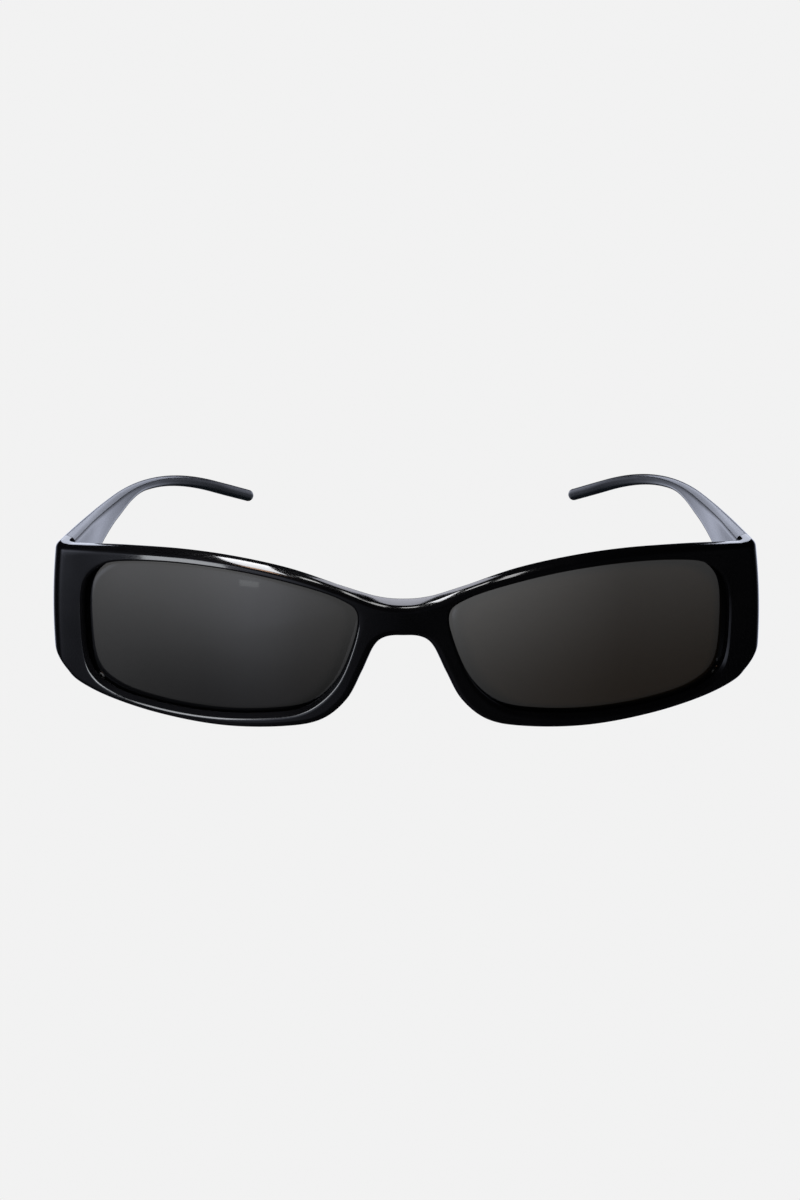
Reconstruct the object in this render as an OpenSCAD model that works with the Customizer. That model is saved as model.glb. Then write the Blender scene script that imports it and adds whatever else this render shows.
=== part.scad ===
// Wrapped full-rim sunglasses with folding temples.
// The front is worked out flat, as a width s along the outer face and a height z above the datum
// line, and is then wrapped: s follows a large arc, a tight corner and a short return to the seam.
// The datum line runs level through the bridge. Depth d is measured inwards from the outer face.

/* [Front] */
// Radius of the front seen from above
wrap_r = 142; // [125:1:165]
// Thickness of the front
front_t = 3.8; // [3.4:0.1:4.6]
// Rounding of the outer edges of the front
edge_r = 1.3; // [0.8:0.1:1.4]
// Bevel on the edges of the lens openings
bevel = 0.35; // [0.2:0.05:0.6]
// The same bevel on the face below a lens
low_bevel = 0.95; // [0.4:0.05:1]
// Height of the lower rim below the lens opening
rim_low = 2.75; // [2.7:0.05:4]
// Height of the upper rim above the lens opening
rim_top = 2.25; // [1.9:0.05:3]

/* [Lens opening] */
// Gap between the two lens openings
bridge_w = 17.4; // [14:0.2:22]
// Width of a lens opening, along the face
opening_w = 58.3; // [52:0.1:62]
// Height of a lens opening
opening_h = 30.35; // [26:0.05:34]
// Height of the opening's top above the datum line
opening_top = 11.65; // [10:0.05:14]

/* [Bridge and nose rests] */
// Top of the bridge above the datum line
bridge_top = 5.1; // [4:0.1:7]
// Height of the bridge
bridge_h = 5.95; // [5:0.05:7]
// How far the bridge is deeper than the rims
bridge_deep = 2.4; // [0:0.1:3]
// How far the nose rests stand out behind the bridge
nose_rest = 2; // [0:0.1:3]

/* [Endpieces] */
// Start of the corner, along the face at its widest height
corner_s = 72.5; // [68:0.1:76]
// Outer radius of the corner
corner_r = 4.6; // [4.3:0.1:6]
// How much the corner draws in above its widest height, per square millimetre
corner_draw = 0.0048; // [0:0.0002:0.006]
// Widest height of the corner below the datum line
corner_low = 12; // [10:0.5:13]
// Top of the endpiece above the datum line
end_top = 12.2; // [11:0.1:13]
// Bottom of the endpiece where the corner starts, below the datum line
end_low = 14.7; // [13.5:0.1:15.5]
// Bottom of the seam with the temple, below the datum line
seam_low = 9.5; // [8:0.1:11]
// Rise of the lower edge at the corner, per millimetre
corner_slope = 0.9; // [0.7:0.05:1.1]
// Straight run from the corner to the seam, on the outside
return_len = 3.6; // [3:0.1:5]
// Slope of the seam: how far it runs forwards for each millimetre inwards
mitre = 0.9; // [0.6:0.05:1]
// Gap between the front and the temple at the seam
seam_gap = 0.12; // [0.08:0.01:0.2]

/* [Lenses] */
// Thickness of a lens
lens_t = 1.8; // [1.4:0.1:2]
// Depth of the lens behind the outer face, at its edge
lens_depth = 1.2; // [1.2:0.05:1.4]
// How far the middle of the lens bulges forwards
lens_bulge = 0.5; // [0:0.1:0.8]
// Depth of the groove round the opening
groove = 0.6; // [0.4:0.05:0.8]
// Width of the groove at its mouth
groove_w = 1.66; // [1.6:0.02:1.8]
// Clearance between a lens and the front
lens_gap = 0.05; // [0.03:0.01:0.1]

/* [Temples] */
// Angle by which each temple closes in from the hinge
toe_in = 6; // [3:0.5:9]
// Length of a temple behind the seam, measured straight back
temple_len = 99; // [94:1:110]
// Drop of the top line from the seam to the arm
shoulder_drop = 0.25; // [0:0.05:1]
// Distance behind the seam at which half of the tall end has swept up into the arm
sweep_len = 8.7; // [7:0.1:10]
// Roundness of that sweep
sweep_power = 1.67; // [1.4:0.01:1.9]
// Thickness of the arm at its thinnest
arm_t = 2.3; // [2.2:0.1:2.8]
// Height of the arm beyond its thickness
arm_flat = 0.1; // [0:0.05:0.6]
// Distance behind the seam at which the ear bend starts
ear_start = 30; // [25:1:40]
// Distance behind the seam at which the arm is straight again
ear_end = 81; // [75:1:84]
// Radius of the ear bend
ear_r = 123; // [115:1:145]
// Inward curvature of the arm, per millimetre
inward = 0.0035; // [0.002:0.0001:0.004]
// Radius of the tip
tip_r = 1.5; // [1.45:0.05:1.7]
// Length of the round tip, measured straight back
tip_len = 15; // [12:1:18]
// Rounding of the tip's end
tip_round = 0.7; // [0.4:0.05:0.7]

/* [Core wires] */
// Radius of the wire inside each arm
wire_r = 0.5; // [0.4:0.05:0.6]
// Distance behind the seam at which the wire starts
wire_start = 14; // [12:1:20]
// Clearance round the wire
wire_gap = 0.08; // [0.05:0.01:0.12]

/* [Hinges] */
// Height of the hinge above the datum line
hinge_z = 5.2; // [4.6:0.1:5.6]
// Distance of the pin from the inner end of the seam, inwards
hinge_in = 1; // [0.9:0.1:1.4]
// Distance of the pin from the inner end of the seam, backwards
hinge_back = 0.55; // [0.4:0.05:0.8]
// Diameter of the knuckles
knuckle_d = 2.8; // [2.6:0.1:3]
// Height of one knuckle
knuckle_h = 1.3; // [1.1:0.1:1.4]
// Gap between knuckles
knuckle_gap = 0.06; // [0.04:0.01:0.1]
// Thickness of the leaves
leaf_t = 0.95; // [0.9:0.05:1]
// Depth of the front leaf's seat
leaf_seat = 0.5; // [0.4:0.05:0.6]
// Depth of the temple leaf's seat, at the hinge's height
temple_seat = 0.6; // [0.5:0.05:0.7]
// Width of the front leaf
front_leaf_w = 3.4; // [3.2:0.1:3.6]
// Height of the front leaf
front_leaf_h = 11.2; // [11:0.1:11.6]
// Length of the temple leaf
temple_leaf_l = 7.4; // [6.6:0.1:8]
// Height of the temple leaf
temple_leaf_h = 5.4; // [5:0.1:5.8]
// Fit of the leaves in their seats
leaf_gap = 0.05; // [0.03:0.01:0.1]

/* [Screws] */
// Diameter of the hinge screw's shank
pin_d = 1.4; // [1.2:0.05:1.5]
// Running clearance between that shank and the knuckles, all round
pin_gap = 0.05; // [0.03:0.01:0.08]
// Diameter of the hinge screw's head
pin_head_d = 2.1; // [1.8:0.05:2.15]
// Height of the hinge screw's head
pin_head_h = 0.7; // [0.5:0.1:0.9]
// Diameter of the leaf screws' shank
leaf_screw_d = 1.2; // [1:0.1:1.3]
// Length of the leaf screws
leaf_screw_l = 2.6; // [2.2:0.1:2.8]
// Diameter of the leaf screws' head
leaf_head_d = 1.6; // [1.5:0.05:1.7]
// Height of the leaf screws' head
leaf_head_h = 0.45; // [0.35:0.05:0.5]
// Clearance round the leaf screws
screw_gap = 0.04; // [0.02:0.01:0.06]

/* [Temple trims] */
// Length of the trim bar between the centres of its ends
trim_len = 8; // [6:0.5:9]
// Width of the trim bar
trim_w = 3.2; // [2.8:0.1:3.6]
// How far the trim stands out of the temple
trim_proud = 1.3; // [0.8:0.1:1.6]
// Depth of the trim's seat
trim_seat = 0.6; // [0.5:0.05:0.8]
// Distance of the trim's lower end behind the seam
trim_back = 2.3; // [2:0.1:3]
// Height of the trim's lower end below the datum line
trim_low = 1.6; // [1:0.1:2.2]
// Lean of the trim from upright
trim_lean = 28; // [20:1:35]
// Diameter of the trim's posts
post_d = 1; // [0.8:0.1:1.2]
// Length of the trim's posts
post_l = 1.2; // [1:0.1:1.3]
// Clearance round the trim in its seat
trim_gap = 0.05; // [0.03:0.01:0.1]

/* [Hidden] */
$fn = 40;

// Levels and reaches that follow from the sizes above
bridge_bottom = bridge_top - bridge_h;
opening_low = opening_top - opening_h;
brow = opening_top + rim_top;
chin = opening_low - rim_low;
reach = bridge_w / 2 + opening_w;

// The plastic's finer sizes
nose_flat = 0.2;        // share of the reach over which the bridge's extra depth fades
rest_z = -7.8;          // height of the nose rests' middle
rest_h = 7;             // distance above and below it over which they fade
rest_in = 9;            // where they start to fade, outwards
rest_w = 6;             // distance over which they do
thin_len = 45;          // length over which a temple thins from the front's thickness
thin_power = 1.6;       // roundness of that thinning
shoulder_len = 18;      // length over which the top line drops
flare_z = 10;           // height at which the endpiece's flare is carried on
flare_len = 25;         // length over which the flare fades behind the seam
mitre_len = 8;          // length over which the seam's slope fades in the temple
fade_start = 28;        // where the sweep's last rest starts to fade
fade_len = 18;          // length over which it does
inward_start = 5;       // where the arm starts to curve inwards
inward_end = 82;        // where that curve ends
edge_land = 0.05;       // flat left between two rounded edges
tip_lead = 4;           // length of the tip's conical start
tip_start_r = 1.2;      // radius of the tip at that start
tip_step = 0.1;         // how much slimmer the arm is than the tip, all round
grow_start = 50;        // where the arm starts to thicken towards the tip
arm_overlap = 2.8;      // how far the arm runs on inside the tip
arm_steps = 13;         // sections of the arm behind the start of the ear bend, less one
wire_end = 4;           // distance from the wire's end to the end of the temple

// The hinges' finer sizes
front_leaf_in = 2.5;    // reach of the front leaf inwards from the pin
block_w = 2;            // width of the block below a front knuckle
knuckle_clear = 0.12;   // clearance round a temple knuckle in the front leaf
front_screw_in = 0.6;   // front leaf screws, inwards from the pin
front_screw_z = 4.4;    // and above and below it
temple_leaf_back = 2.3; // start of the temple leaf behind the pin
arm_w = 1.6;            // width of the arm from a knuckle to the temple leaf
arm_back = 3.2;         // distance of its end behind the pin
arm_in = 0.2;           // and inwards from the temple's inner face
temple_screws = [4.8, 8]; // temple leaf screws behind the pin
slot_w = 0.35;          // slot of a screw
slot_deep = 0.25;       // and its depth
point_h = 0.4;          // length of a screw's point
trim_bevel = 0.35;      // bevel on the outer edge of a trim

// Search for the lean
most_lean = 15;         // no lean is larger
lean_halvings = 24;     // how often the range is halved

// Small helpers
function mix(a, b, t) = a + (b - a) * t;
function clamp(t) = min(1, max(0, t));
function smooth(t) = let (c = clamp(t)) c * c * (3 - 2 * c);
function unit(v) = v / norm(v);
function last(v) = v[len(v) - 1];
function joined(lists) = [for (l = lists) each l];
function shed_last(v) = [for (i = [0 : len(v) - 2]) v[i]];

// A smooth curve through points, with the points before and after it given
function bend(p0, p1, p2, p3, t) =
    0.5 * (2 * p1 + (p2 - p0) * t + (2 * p0 - 5 * p1 + 4 * p2 - p3) * t * t
           + (3 * p1 - p0 - 3 * p2 + p3) * t * t * t);
function curve(pts, before, after, steps = 10) = [
    for (i = [0 : len(pts) - 2])
        let (p0 = i > 0 ? pts[i - 1] : before, p3 = i < len(pts) - 2 ? pts[i + 2] : after)
        for (k = [0 : steps - 1]) bend(p0, pts[i], pts[i + 1], p3, k / steps),
    last(pts)
];

// The same curve as n steps of length, all equal or at a pace given as pairs of shares
function lengths(p) = [
    for (i = 0, sum = 0; i < len(p); i = i + 1, sum = i < len(p) ? sum + norm(p[i] - p[i - 1]) : sum) sum
];
function spread(p, n, pace = [[0, 0], [1, 1]]) =
    let (run = lengths(p), across = [for (i = [0 : len(p) - 1]) [run[i], p[i][0]]],
         up = [for (i = [0 : len(p) - 1]) [run[i], p[i][1]]])
    [for (k = [0 : n]) let (at = last(run) * lookup(k / n, pace)) [lookup(at, across), lookup(at, up)]];

// Where the corner starts, how long it is, and the length from there to the seam, at a height z
function corner_start(z) = corner_s - corner_draw * pow(z + corner_low, 2);
function side_angle() = 90 + toe_in;
function corner_run(z) = corner_r * (side_angle() - to_degrees(corner_start(z) / wrap_r)) * PI / 180;
function to_degrees(a) = a * 180 / PI;
function side_run(z) = corner_run(z) + return_len;

// The wrap: the place of a point s along the face, z up and d inwards
function wrapped(s, z, d) =
    let (start = corner_start(z), a = to_degrees(min(s, start) / wrap_r), over = s - start,
         centre = (wrap_r - corner_r) * [sin(a), -cos(a)] + [0, wrap_r],
         turn = a + to_degrees(max(0, min(over, corner_run(z))) / corner_r),
         straight = max(0, over - corner_run(z)),
         r = over > 0 ? corner_r - d : wrap_r - d, hub = over > 0 ? centre : [0, wrap_r],
         p = hub + r * [sin(turn), -cos(turn)] + straight * [cos(turn), sin(turn)])
    [p[0], p[1], z];

// Outline of the lens opening: share of its width from the nose, and of its height from the top
opening_shape = [
    [0, 0.278], [0.055, 0.174], [0.195, 0.089], [0.385, 0.023], [0.592, 0], [0.782, 0.021],
    [0.898, 0.077], [0.978, 0.225], [1, 0.511], [0.985, 0.8], [0.892, 0.928], [0.713, 0.985],
    [0.506, 1], [0.316, 0.972], [0.181, 0.91], [0.085, 0.752], [0.028, 0.528]
];
// Upper edge of the front: share of the reach, and of the rise from the bridge to the brow
upper_shape = [
    [0, 0], [0.0746, 0.08], [0.1789, 0.375], [0.328, 0.727], [0.492, 0.93], [0.656, 1], [0.835, 0.95],
    [0.984, 0.85]
];
// Lower edge from the endpiece to the bridge: share of the reach, and of the fall to the chin
lower_shape = [
    [1.0373, 0.778], [0.9254, 0.88], [0.7465, 0.964], [0.5447, 1], [0.3579, 0.956], [0.2435, 0.864],
    [0.167, 0.649], [0.1222, 0.37], [0.1045, 0.24], [0.0888, 0.1286], [0.0731, 0.058], [0.0537, 0.0185],
    [0.0299, 0.001], [0, 0]
];

// Stations round one opening: along the top, down the corner, along the bottom, up the nose
top_n = 34;
side_n = 8;
low_n = 40;
nose_n = 6;
station_n = top_n + side_n + low_n + nose_n;
side_at = top_n;
low_at = top_n + side_n;
nose_at = top_n + side_n + low_n;

// Their pace: finer towards the bridge, and level with each other across the rim
turn = 0.8;             // share of the lower stations before the turn up to the bridge
low_share = low_n / (low_n + nose_n);
top_pace = [[0, 0], [0.2, 0.11], [turn, turn], [1, 1]];
low_pace = [[0, 0], [turn, 0.84], [1, 1]];
nose_pace = [[0, 0], [turn * low_share, 0.839], [low_share, 0.98], [1, 1]];

opening_points = [
    for (p = opening_shape) [bridge_w / 2 + p[0] * opening_w, opening_top - p[1] * opening_h]
];
function ring_part(first, count, n, pace = [[0, 0], [1, 1]]) =
    let (m = len(opening_points), pts = [for (i = [0 : count]) opening_points[(first + i) % m]])
    shed_last(spread(curve(pts, opening_points[(first + m - 1) % m],
                           opening_points[(first + count + 1) % m]), n, pace));
opening = joined([
    ring_part(0, 7, top_n, top_pace), ring_part(7, 2, side_n), ring_part(9, 8, low_n + nose_n, nose_pace)
]);

upper_points = concat(
    [for (p = upper_shape) [p[0] * reach, mix(bridge_top, brow, p[1])]],
    [[corner_start(end_top), end_top]]
);
lower_points = concat(
    [[corner_start(-end_low), -end_low]],
    [for (p = lower_shape) [p[0] * reach, mix(bridge_bottom, chin, p[1])]]
);
function flipped(p) = [-p[0], p[1]];
upper = spread(curve(upper_points, flipped(upper_points[1]),
                     2 * last(upper_points) - upper_points[len(upper_points) - 2]), top_n);
low_before = lower_points[1] + 2 * norm(lower_points[1] - lower_points[0]) * unit([1, corner_slope]);
lower = spread(curve(lower_points, low_before, flipped(lower_points[len(lower_points) - 2])),
               low_n, low_pace);

// The normal to the left of a run of points, and of the closed opening
function left_of(t) = unit([-t[1], t[0]]);
function run_normal(p, i) = left_of(p[min(i + 1, len(p) - 1)] - p[max(i - 1, 0)]);
function opening_normal(i) =
    left_of(opening[(i + 1) % station_n] - opening[(i + station_n - 1) % station_n]);

// Heights of the corner line, between the roundings of its two ends
corner_top = last(upper)[1];
corner_bottom = lower[0][1];
function stretched(slope) = sqrt(1 + slope * slope);
function side_z(k, top, bottom) =
    mix(top - edge_r, bottom + edge_r * stretched(corner_slope), k / side_n);
function nose_z(k) = mix(bridge_bottom + edge_r, bridge_top - edge_r, k / nose_n);

// Depth of the front at its outer edge: deeper at the bridge and at the nose rests
function outer_depth(p) =
    front_t + bridge_deep * (1 - smooth(p[0] / (nose_flat * reach)))
    + nose_rest * (1 - smooth(abs(p[1] - rest_z) / rest_h)) * (1 - smooth((p[0] - rest_in) / rest_w));

// A rounded edge as steps from 0 to edge_end, from the outer face round to the inner one
edge_steps = [0, 30, 60, 90];
edge_half = len(edge_steps);
edge_end = 2 * edge_half - 1;
function on_face(j) = j < edge_half;
function edge_angle(j) = edge_steps[on_face(j) ? j : edge_end - j];
function edge_inset(j, r = edge_r) = r * (1 - sin(edge_angle(j)));
function edge_depth(j, depth, r = edge_r) =
    let (in = r * (1 - cos(edge_angle(j)))) on_face(j) ? in : depth - in;

// Outer edge point j of station i
function outer_point(i, j) =
    let (in = edge_inset(j))
    i <= side_at
        ? let (p = upper[i], q = i == 0 ? p - [0, in]
               : i == side_at ? [corner_start(p[1] - in), p[1] - in]
               : p - in * run_normal(upper, i))
          wrapped(q[0], q[1], edge_depth(j, outer_depth(p)))
        : i < low_at
        ? let (z = side_z(i - side_at, corner_top, corner_bottom))
          wrapped(corner_start(z), z, on_face(j) ? 0 : front_t)
        : i <= nose_at
        ? let (k = i - low_at, p = lower[k], rise = p[1] + in * stretched(corner_slope),
               q = k == low_n ? p + [0, in] : k == 0 ? [corner_start(rise), rise]
               : p - in * run_normal(lower, k))
          wrapped(q[0], q[1], edge_depth(j, outer_depth(p)))
        : let (z = nose_z(i - nose_at)) wrapped(0, z, on_face(j) ? 0 : outer_depth([0, z]));

// Profile of the opening's edge from the back to the face, as [into the rim, depth]
groove_mid = lens_depth + lens_t / 2;
function face_bevel(i) = mix(bevel, low_bevel, clamp(-opening_normal(i)[1]));
function inner_profile(i) = [
    [bevel, front_t], [0, front_t - bevel], [0, groove_mid + groove_w / 2], [groove, groove_mid],
    [0, groove_mid - groove_w / 2], [0, face_bevel(i)], [face_bevel(i), 0]
];
function opening_point(i, in, d) =
    let (q = opening[i] + in * opening_normal(i)) wrapped(q[0], q[1], d);

// One station of the rim: the points on the outer edge, then those on the opening's edge
rim_n = edge_end + 1 + len(inner_profile(0));
rim_points = [
    for (i = [0 : station_n - 1])
        each concat([for (j = [0 : edge_end]) outer_point(i, j)],
                    [for (q = inner_profile(i)) opening_point(i, q[0], q[1])])
];

// A loop round a sheet's section: down the outer face in n steps, round the lower edge, up the
// inner face and round the upper edge. Spot k is [step down the face, edge step].
function loop_size(n) = 2 * (n + edge_end);
function loop_spot(k, n) =
    k <= n ? [k, 0] : k < n + edge_end ? [n, k - n]
    : k <= 2 * n + edge_end ? [2 * n + edge_end - k, edge_end] : [0, loop_size(n) - k];
// Height and depth of spot k on a section from top to low, t thick, with edges of radius r. On a
// steep lower edge the rounding is stretched upwards.
function loop_place(k, n, top, low, t, r, stretch = 1) =
    let (spot = loop_spot(k, n), j = spot[1], in = edge_inset(j, r), rise = r * stretch)
    [spot[0] == 0 ? top - in : spot[0] == n ? low + in * stretch : mix(top - r, low + rise, spot[0] / n),
     spot[0] > 0 && spot[0] < n ? (on_face(j) ? 0 : t) : edge_depth(j, t, r)];
// Faces across the end of a loop of m points: strips between point k and its partner
function end_strip(base, m, first, turned) =
    [for (k = [first : first + m / 2 - 2])
        let (last_k = m - 1 + 2 * first - k,
             q = [for (v = [k, k + 1, last_k - 1, last_k]) base + (v + m) % m])
        each quad(q[0], q[1], q[2], q[3], turned)];
loop_first = 1 - edge_half;

// The return from the corner to the seam
column_n = 7;
function low_run() = corner_slope * side_run(corner_bottom);
function return_low(t) = mix(corner_bottom, -seam_low, smooth(t)) + low_run() * t * pow(1 - t, 2);
function return_slope(t) =
    (1 - t) * (6 * t * (-seam_low - corner_bottom) + low_run() * (1 - 3 * t)) / side_run(corner_bottom);
function return_top(t) = mix(corner_top, end_top, t);
function return_point(c, k) =
    let (t = c / column_n,
         at = loop_place(k, side_n, return_top(t), return_low(t), front_t, edge_r,
                         stretched(return_slope(t))))
    wrapped(corner_start(at[0]) + t * (side_run(at[0]) - mitre * at[1]), at[0], at[1]);
return_points = [for (c = [1 : column_n], k = [0 : loop_size(side_n) - 1]) return_point(c, k)];

// The front's points: right rim and return, then their mirror images
half_points = concat(rim_points, return_points);
half_n = len(half_points);
function mirrored(p) = [-p[0], p[1], p[2]];
function on_nose(i, j) = (i == 0 || i >= nose_at) && j <= edge_end;
function rim_index(i, j, left) =
    let (k = (i % station_n) * rim_n + j % rim_n)
    left && !on_nose(i % station_n, j % rim_n) ? k + half_n : k;
function loop_index(c, k, left) =
    let (n = loop_size(side_n), m = (k + n) % n, spot = loop_spot(m, side_n))
    c == 0 ? rim_index(side_at + spot[0], spot[1], left)
    : station_n * rim_n + (c - 1) * n + m + (left ? half_n : 0);
function quad(a, b, c, d, turned) = turned ? [[a, b, c], [a, c, d]] : [[a, c, b], [a, d, c]];
function open_side(i, j) = j < edge_end && (i >= nose_at || (i >= side_at && i < low_at));
function half_faces(left) = concat(
    [for (i = [0 : station_n - 1], j = [0 : rim_n - 1]) if (!open_side(i, j))
        let (q = [rim_index(i, j, left), rim_index(i + 1, j, left),
                  rim_index(i + 1, j + 1, left), rim_index(i, j + 1, left)])
        each i < low_at ? quad(q[0], q[1], q[2], q[3], left) : quad(q[1], q[2], q[3], q[0], left)],
    [for (c = [0 : column_n - 1], k = [0 : loop_size(side_n) - 1])
        each quad(loop_index(c, k, left), loop_index(c + 1, k, left),
                  loop_index(c + 1, k + 1, left), loop_index(c, k + 1, left), !left)],
    end_strip(station_n * rim_n + (column_n - 1) * loop_size(side_n) + (left ? half_n : 0),
              loop_size(side_n), loop_first, left)
);

module front_shell() {
    polyhedron(concat(half_points, [for (p = half_points) mirrored(p)]),
               concat(half_faces(true), half_faces(false)), convexity = 8);
}

// A solid through loops of equal size, closed by a strip at each end
module loft(loops, first = 0) {
    m = len(loops[0]);
    polyhedron(joined(loops), concat(
        [for (i = [0 : len(loops) - 2], k = [0 : m - 1])
            each quad(i * m + k, (i + 1) * m + k, (i + 1) * m + (k + 1) % m, i * m + (k + 1) % m, true)],
        end_strip(0, m, first, true),
        end_strip((len(loops) - 1) * m, m, first, false)
    ), convexity = 4);
}

// Right temple: its outer end at the seam, and its lines at a distance l behind the seam
function seam_point(z) = wrapped(corner_start(z) + side_run(z), z, 0);
function ear_slope(l) = max(0, min(l, ear_end) - ear_start) / ear_r;
function ear_fall(l) = ear_r * pow(ear_slope(l), 2) / 2 + ear_slope(l) * max(0, l - ear_end);
function temple_top(l) = end_top - shoulder_drop * smooth(l / shoulder_len) - ear_fall(l);
function temple_t(l) =
    mix(arm_t, front_t, pow(1 - clamp(l / thin_len), thin_power))
    + (2 * (tip_r - tip_step) - arm_t) * smooth((l - grow_start) / (temple_len - tip_len - grow_start));
function arm_h(l) = (temple_t(l) + arm_flat) * stretched(ear_slope(l));
function sweep(l) =
    (end_top + seam_low - arm_h(0)) / (1 + pow(l / sweep_len, sweep_power))
    * (1 - smooth((l - fade_start) / fade_len));
function temple_low(l) = temple_top(l) - arm_h(l) - sweep(l);
function low_slope(l) = (temple_low(l + seam_gap) - temple_low(l)) / seam_gap;

// Its plan: the slope inwards, and the place of a point l behind the seam, z up and d inwards
function bend_run(l) = max(0, min(l, inward_end) - inward_start);
function plan_slope(l) = tan(toe_in) + inward * bend_run(l);
function plan_in(l) =
    tan(toe_in) * l + inward * bend_run(l) * (bend_run(l) / 2 + max(0, l - inward_end));
mitre_shift = sin(toe_in) + mitre * cos(toe_in);
function temple_point(l, z, d) =
    let (start = seam_point(mix(z, flare_z, smooth(l / flare_len))),
         b = l - mitre_shift * d * (1 - smooth(l / mitre_len)))
    [start[0] - plan_in(b) - d * stretched(plan_slope(b)), start[1] + b, z];

arm_n = 4;
arm_end = temple_len - tip_len + arm_overlap;
arm_stations = concat(
    [seam_gap, 1, 2, 3, 4, 5, 6, 7, 8.5, 10, 12, 14, 16.5, 19, 22, 25, 28],
    [for (k = [0 : arm_steps]) mix(ear_start, arm_end, k / arm_steps)]
);
function temple_loop(l) =
    let (t = temple_t(l), r = min(edge_r, t / 2 - edge_land), stretch = stretched(low_slope(l)))
    [for (k = [0 : loop_size(arm_n) - 1])
        let (at = loop_place(k, arm_n, temple_top(l), temple_low(l), t, r, stretch))
        temple_point(l, at[0], at[1])];

// The arm's centre line, and the core wire and its channel along it
function arm_centre(l) = temple_point(l, temple_top(l) - arm_h(l) / 2, temple_t(l) / 2);
wire_sides = 8;
wire_stations = concat(
    [for (l = arm_stations) if (l > wire_start + 1 && l < arm_end - 1) l], [arm_end]
);
module wire_shape(gap = 0) {
    run = concat([wire_start - gap], wire_stations, [temple_len - wire_end + gap]);
    loft([for (l = run) [for (k = [0 : wire_sides - 1])
        let (a = 360 * k / wire_sides, r = wire_r + gap)
        arm_centre(l) + r * [cos(a) * stretched(plan_slope(l)), 0, -sin(a) * stretched(ear_slope(l))]]]);
}

// The round tip, on the straight end of the centre line
tip_from = arm_centre(temple_len - tip_len);
tip_to = arm_centre(temple_len);
tip_way = unit(tip_to - tip_from);
tip_long = norm(tip_to - tip_from);
module tip() {
    translate(tip_from)
        rotate([0, acos(tip_way[2]), atan2(tip_way[1], tip_way[0])])
            rotate_extrude() {
                polygon([[0, 0], [tip_start_r, 0], [tip_r, tip_lead], [tip_r, tip_long - tip_round],
                         [tip_r - tip_round, tip_long], [0, tip_long]]);
                translate([tip_r - tip_round, tip_long - tip_round]) circle(tip_round);
            }
}

// The pin's axis, and where the plastic lies about it
seam_inside = wrapped(corner_start(end_top) + side_run(end_top) - mitre * front_t, end_top, front_t);
hinge = [seam_inside[0] - hinge_in, seam_inside[1] + hinge_back];
hinge_off = wrap_r - front_t - norm([hinge[0], wrap_r - hinge[1]]);
back_angle = atan2(hinge[0], wrap_r - hinge[1]);
wall_at = temple_point(temple_leaf_back, hinge_z, temple_t(temple_leaf_back));
wall_off = (wall_at[0] - hinge[0]) * cos(toe_in) + (wall_at[1] - hinge[1]) * sin(toe_in);
knuckle_n = 5;
knuckle_pitch = knuckle_h + knuckle_gap;
stack_h = knuckle_n * knuckle_pitch - knuckle_gap;

module at_hinge() { translate([hinge[0], hinge[1], hinge_z]) children(); }
// With the back face as the plane y = 0 and the pin behind it
module on_back_face() { at_hinge() rotate([0, 0, back_angle]) translate([0, -hinge_off, 0]) children(); }
// With the pin as origin and y backwards along the temple
module along_temple() { at_hinge() rotate([0, 0, toe_in]) children(); }
// At the foot of knuckle i
module at_knuckle(i) { translate([0, 0, i * knuckle_pitch - stack_h / 2]) children(); }
module box(low, high) { translate(low) cube(high - low); }
module bore() { cylinder(d = pin_d + 2 * pin_gap, h = 2 * stack_h, center = true); }

// Places of the leaf screws: origin on top of the head, shank downwards
module at_front_screws() {
    for (side = [-1, 1])
        translate([-front_screw_in, leaf_t - leaf_seat + leaf_gap, side * front_screw_z])
            rotate([-90, 0, 0]) children();
}
module at_temple_screws() {
    for (back = temple_screws)
        translate([wall_off + temple_seat - leaf_gap - leaf_t, back, 0]) rotate([0, -90, 0]) children();
}
module leaf_screw(gap = 0) {
    difference() {
        union() {
            translate([0, 0, -leaf_head_h - gap])
                cylinder(d = leaf_head_d + 2 * gap, h = leaf_head_h + gap + (gap > 0 ? leaf_t : 0));
            translate([0, 0, point_h - leaf_screw_l])
                cylinder(d = leaf_screw_d + 2 * gap, h = leaf_screw_l - point_h);
            translate([0, 0, -leaf_screw_l - gap])
                cylinder(d1 = leaf_screw_d / 2, d2 = leaf_screw_d + 2 * gap, h = point_h + gap);
        }
        if (gap == 0)
            translate([-leaf_head_d, -slot_w / 2, -slot_deep]) cube([2 * leaf_head_d, slot_w, leaf_t]);
    }
}

module front_leaf_plate(gap = 0, up = 0) {
    box([-front_leaf_in - gap, leaf_gap - leaf_seat - gap, -front_leaf_h / 2 - gap],
        [front_leaf_w - front_leaf_in + gap, leaf_t - leaf_seat + leaf_gap + up, front_leaf_h / 2 + gap]);
}
module front_leaf_shape() {
    on_back_face() difference() {
        union() {
            front_leaf_plate();
            for (i = [0 : 2 : knuckle_n - 1]) at_knuckle(i) {
                box([-block_w / 2, 0, 0], [block_w / 2, hinge_off, knuckle_h]);
                translate([0, hinge_off, 0]) cylinder(d = knuckle_d, h = knuckle_h);
            }
        }
        for (i = [1 : 2 : knuckle_n - 1])
            at_knuckle(i) translate([0, hinge_off, -knuckle_gap])
                cylinder(r = knuckle_d / 2 + knuckle_clear, h = knuckle_h + 2 * knuckle_gap);
        translate([0, hinge_off, 0]) bore();
        at_front_screws() leaf_screw(screw_gap);
    }
}
module front_leaf_seat() {
    on_back_face() {
        front_leaf_plate(leaf_gap, hinge_off);
        at_front_screws() leaf_screw(screw_gap);
    }
}

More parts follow.
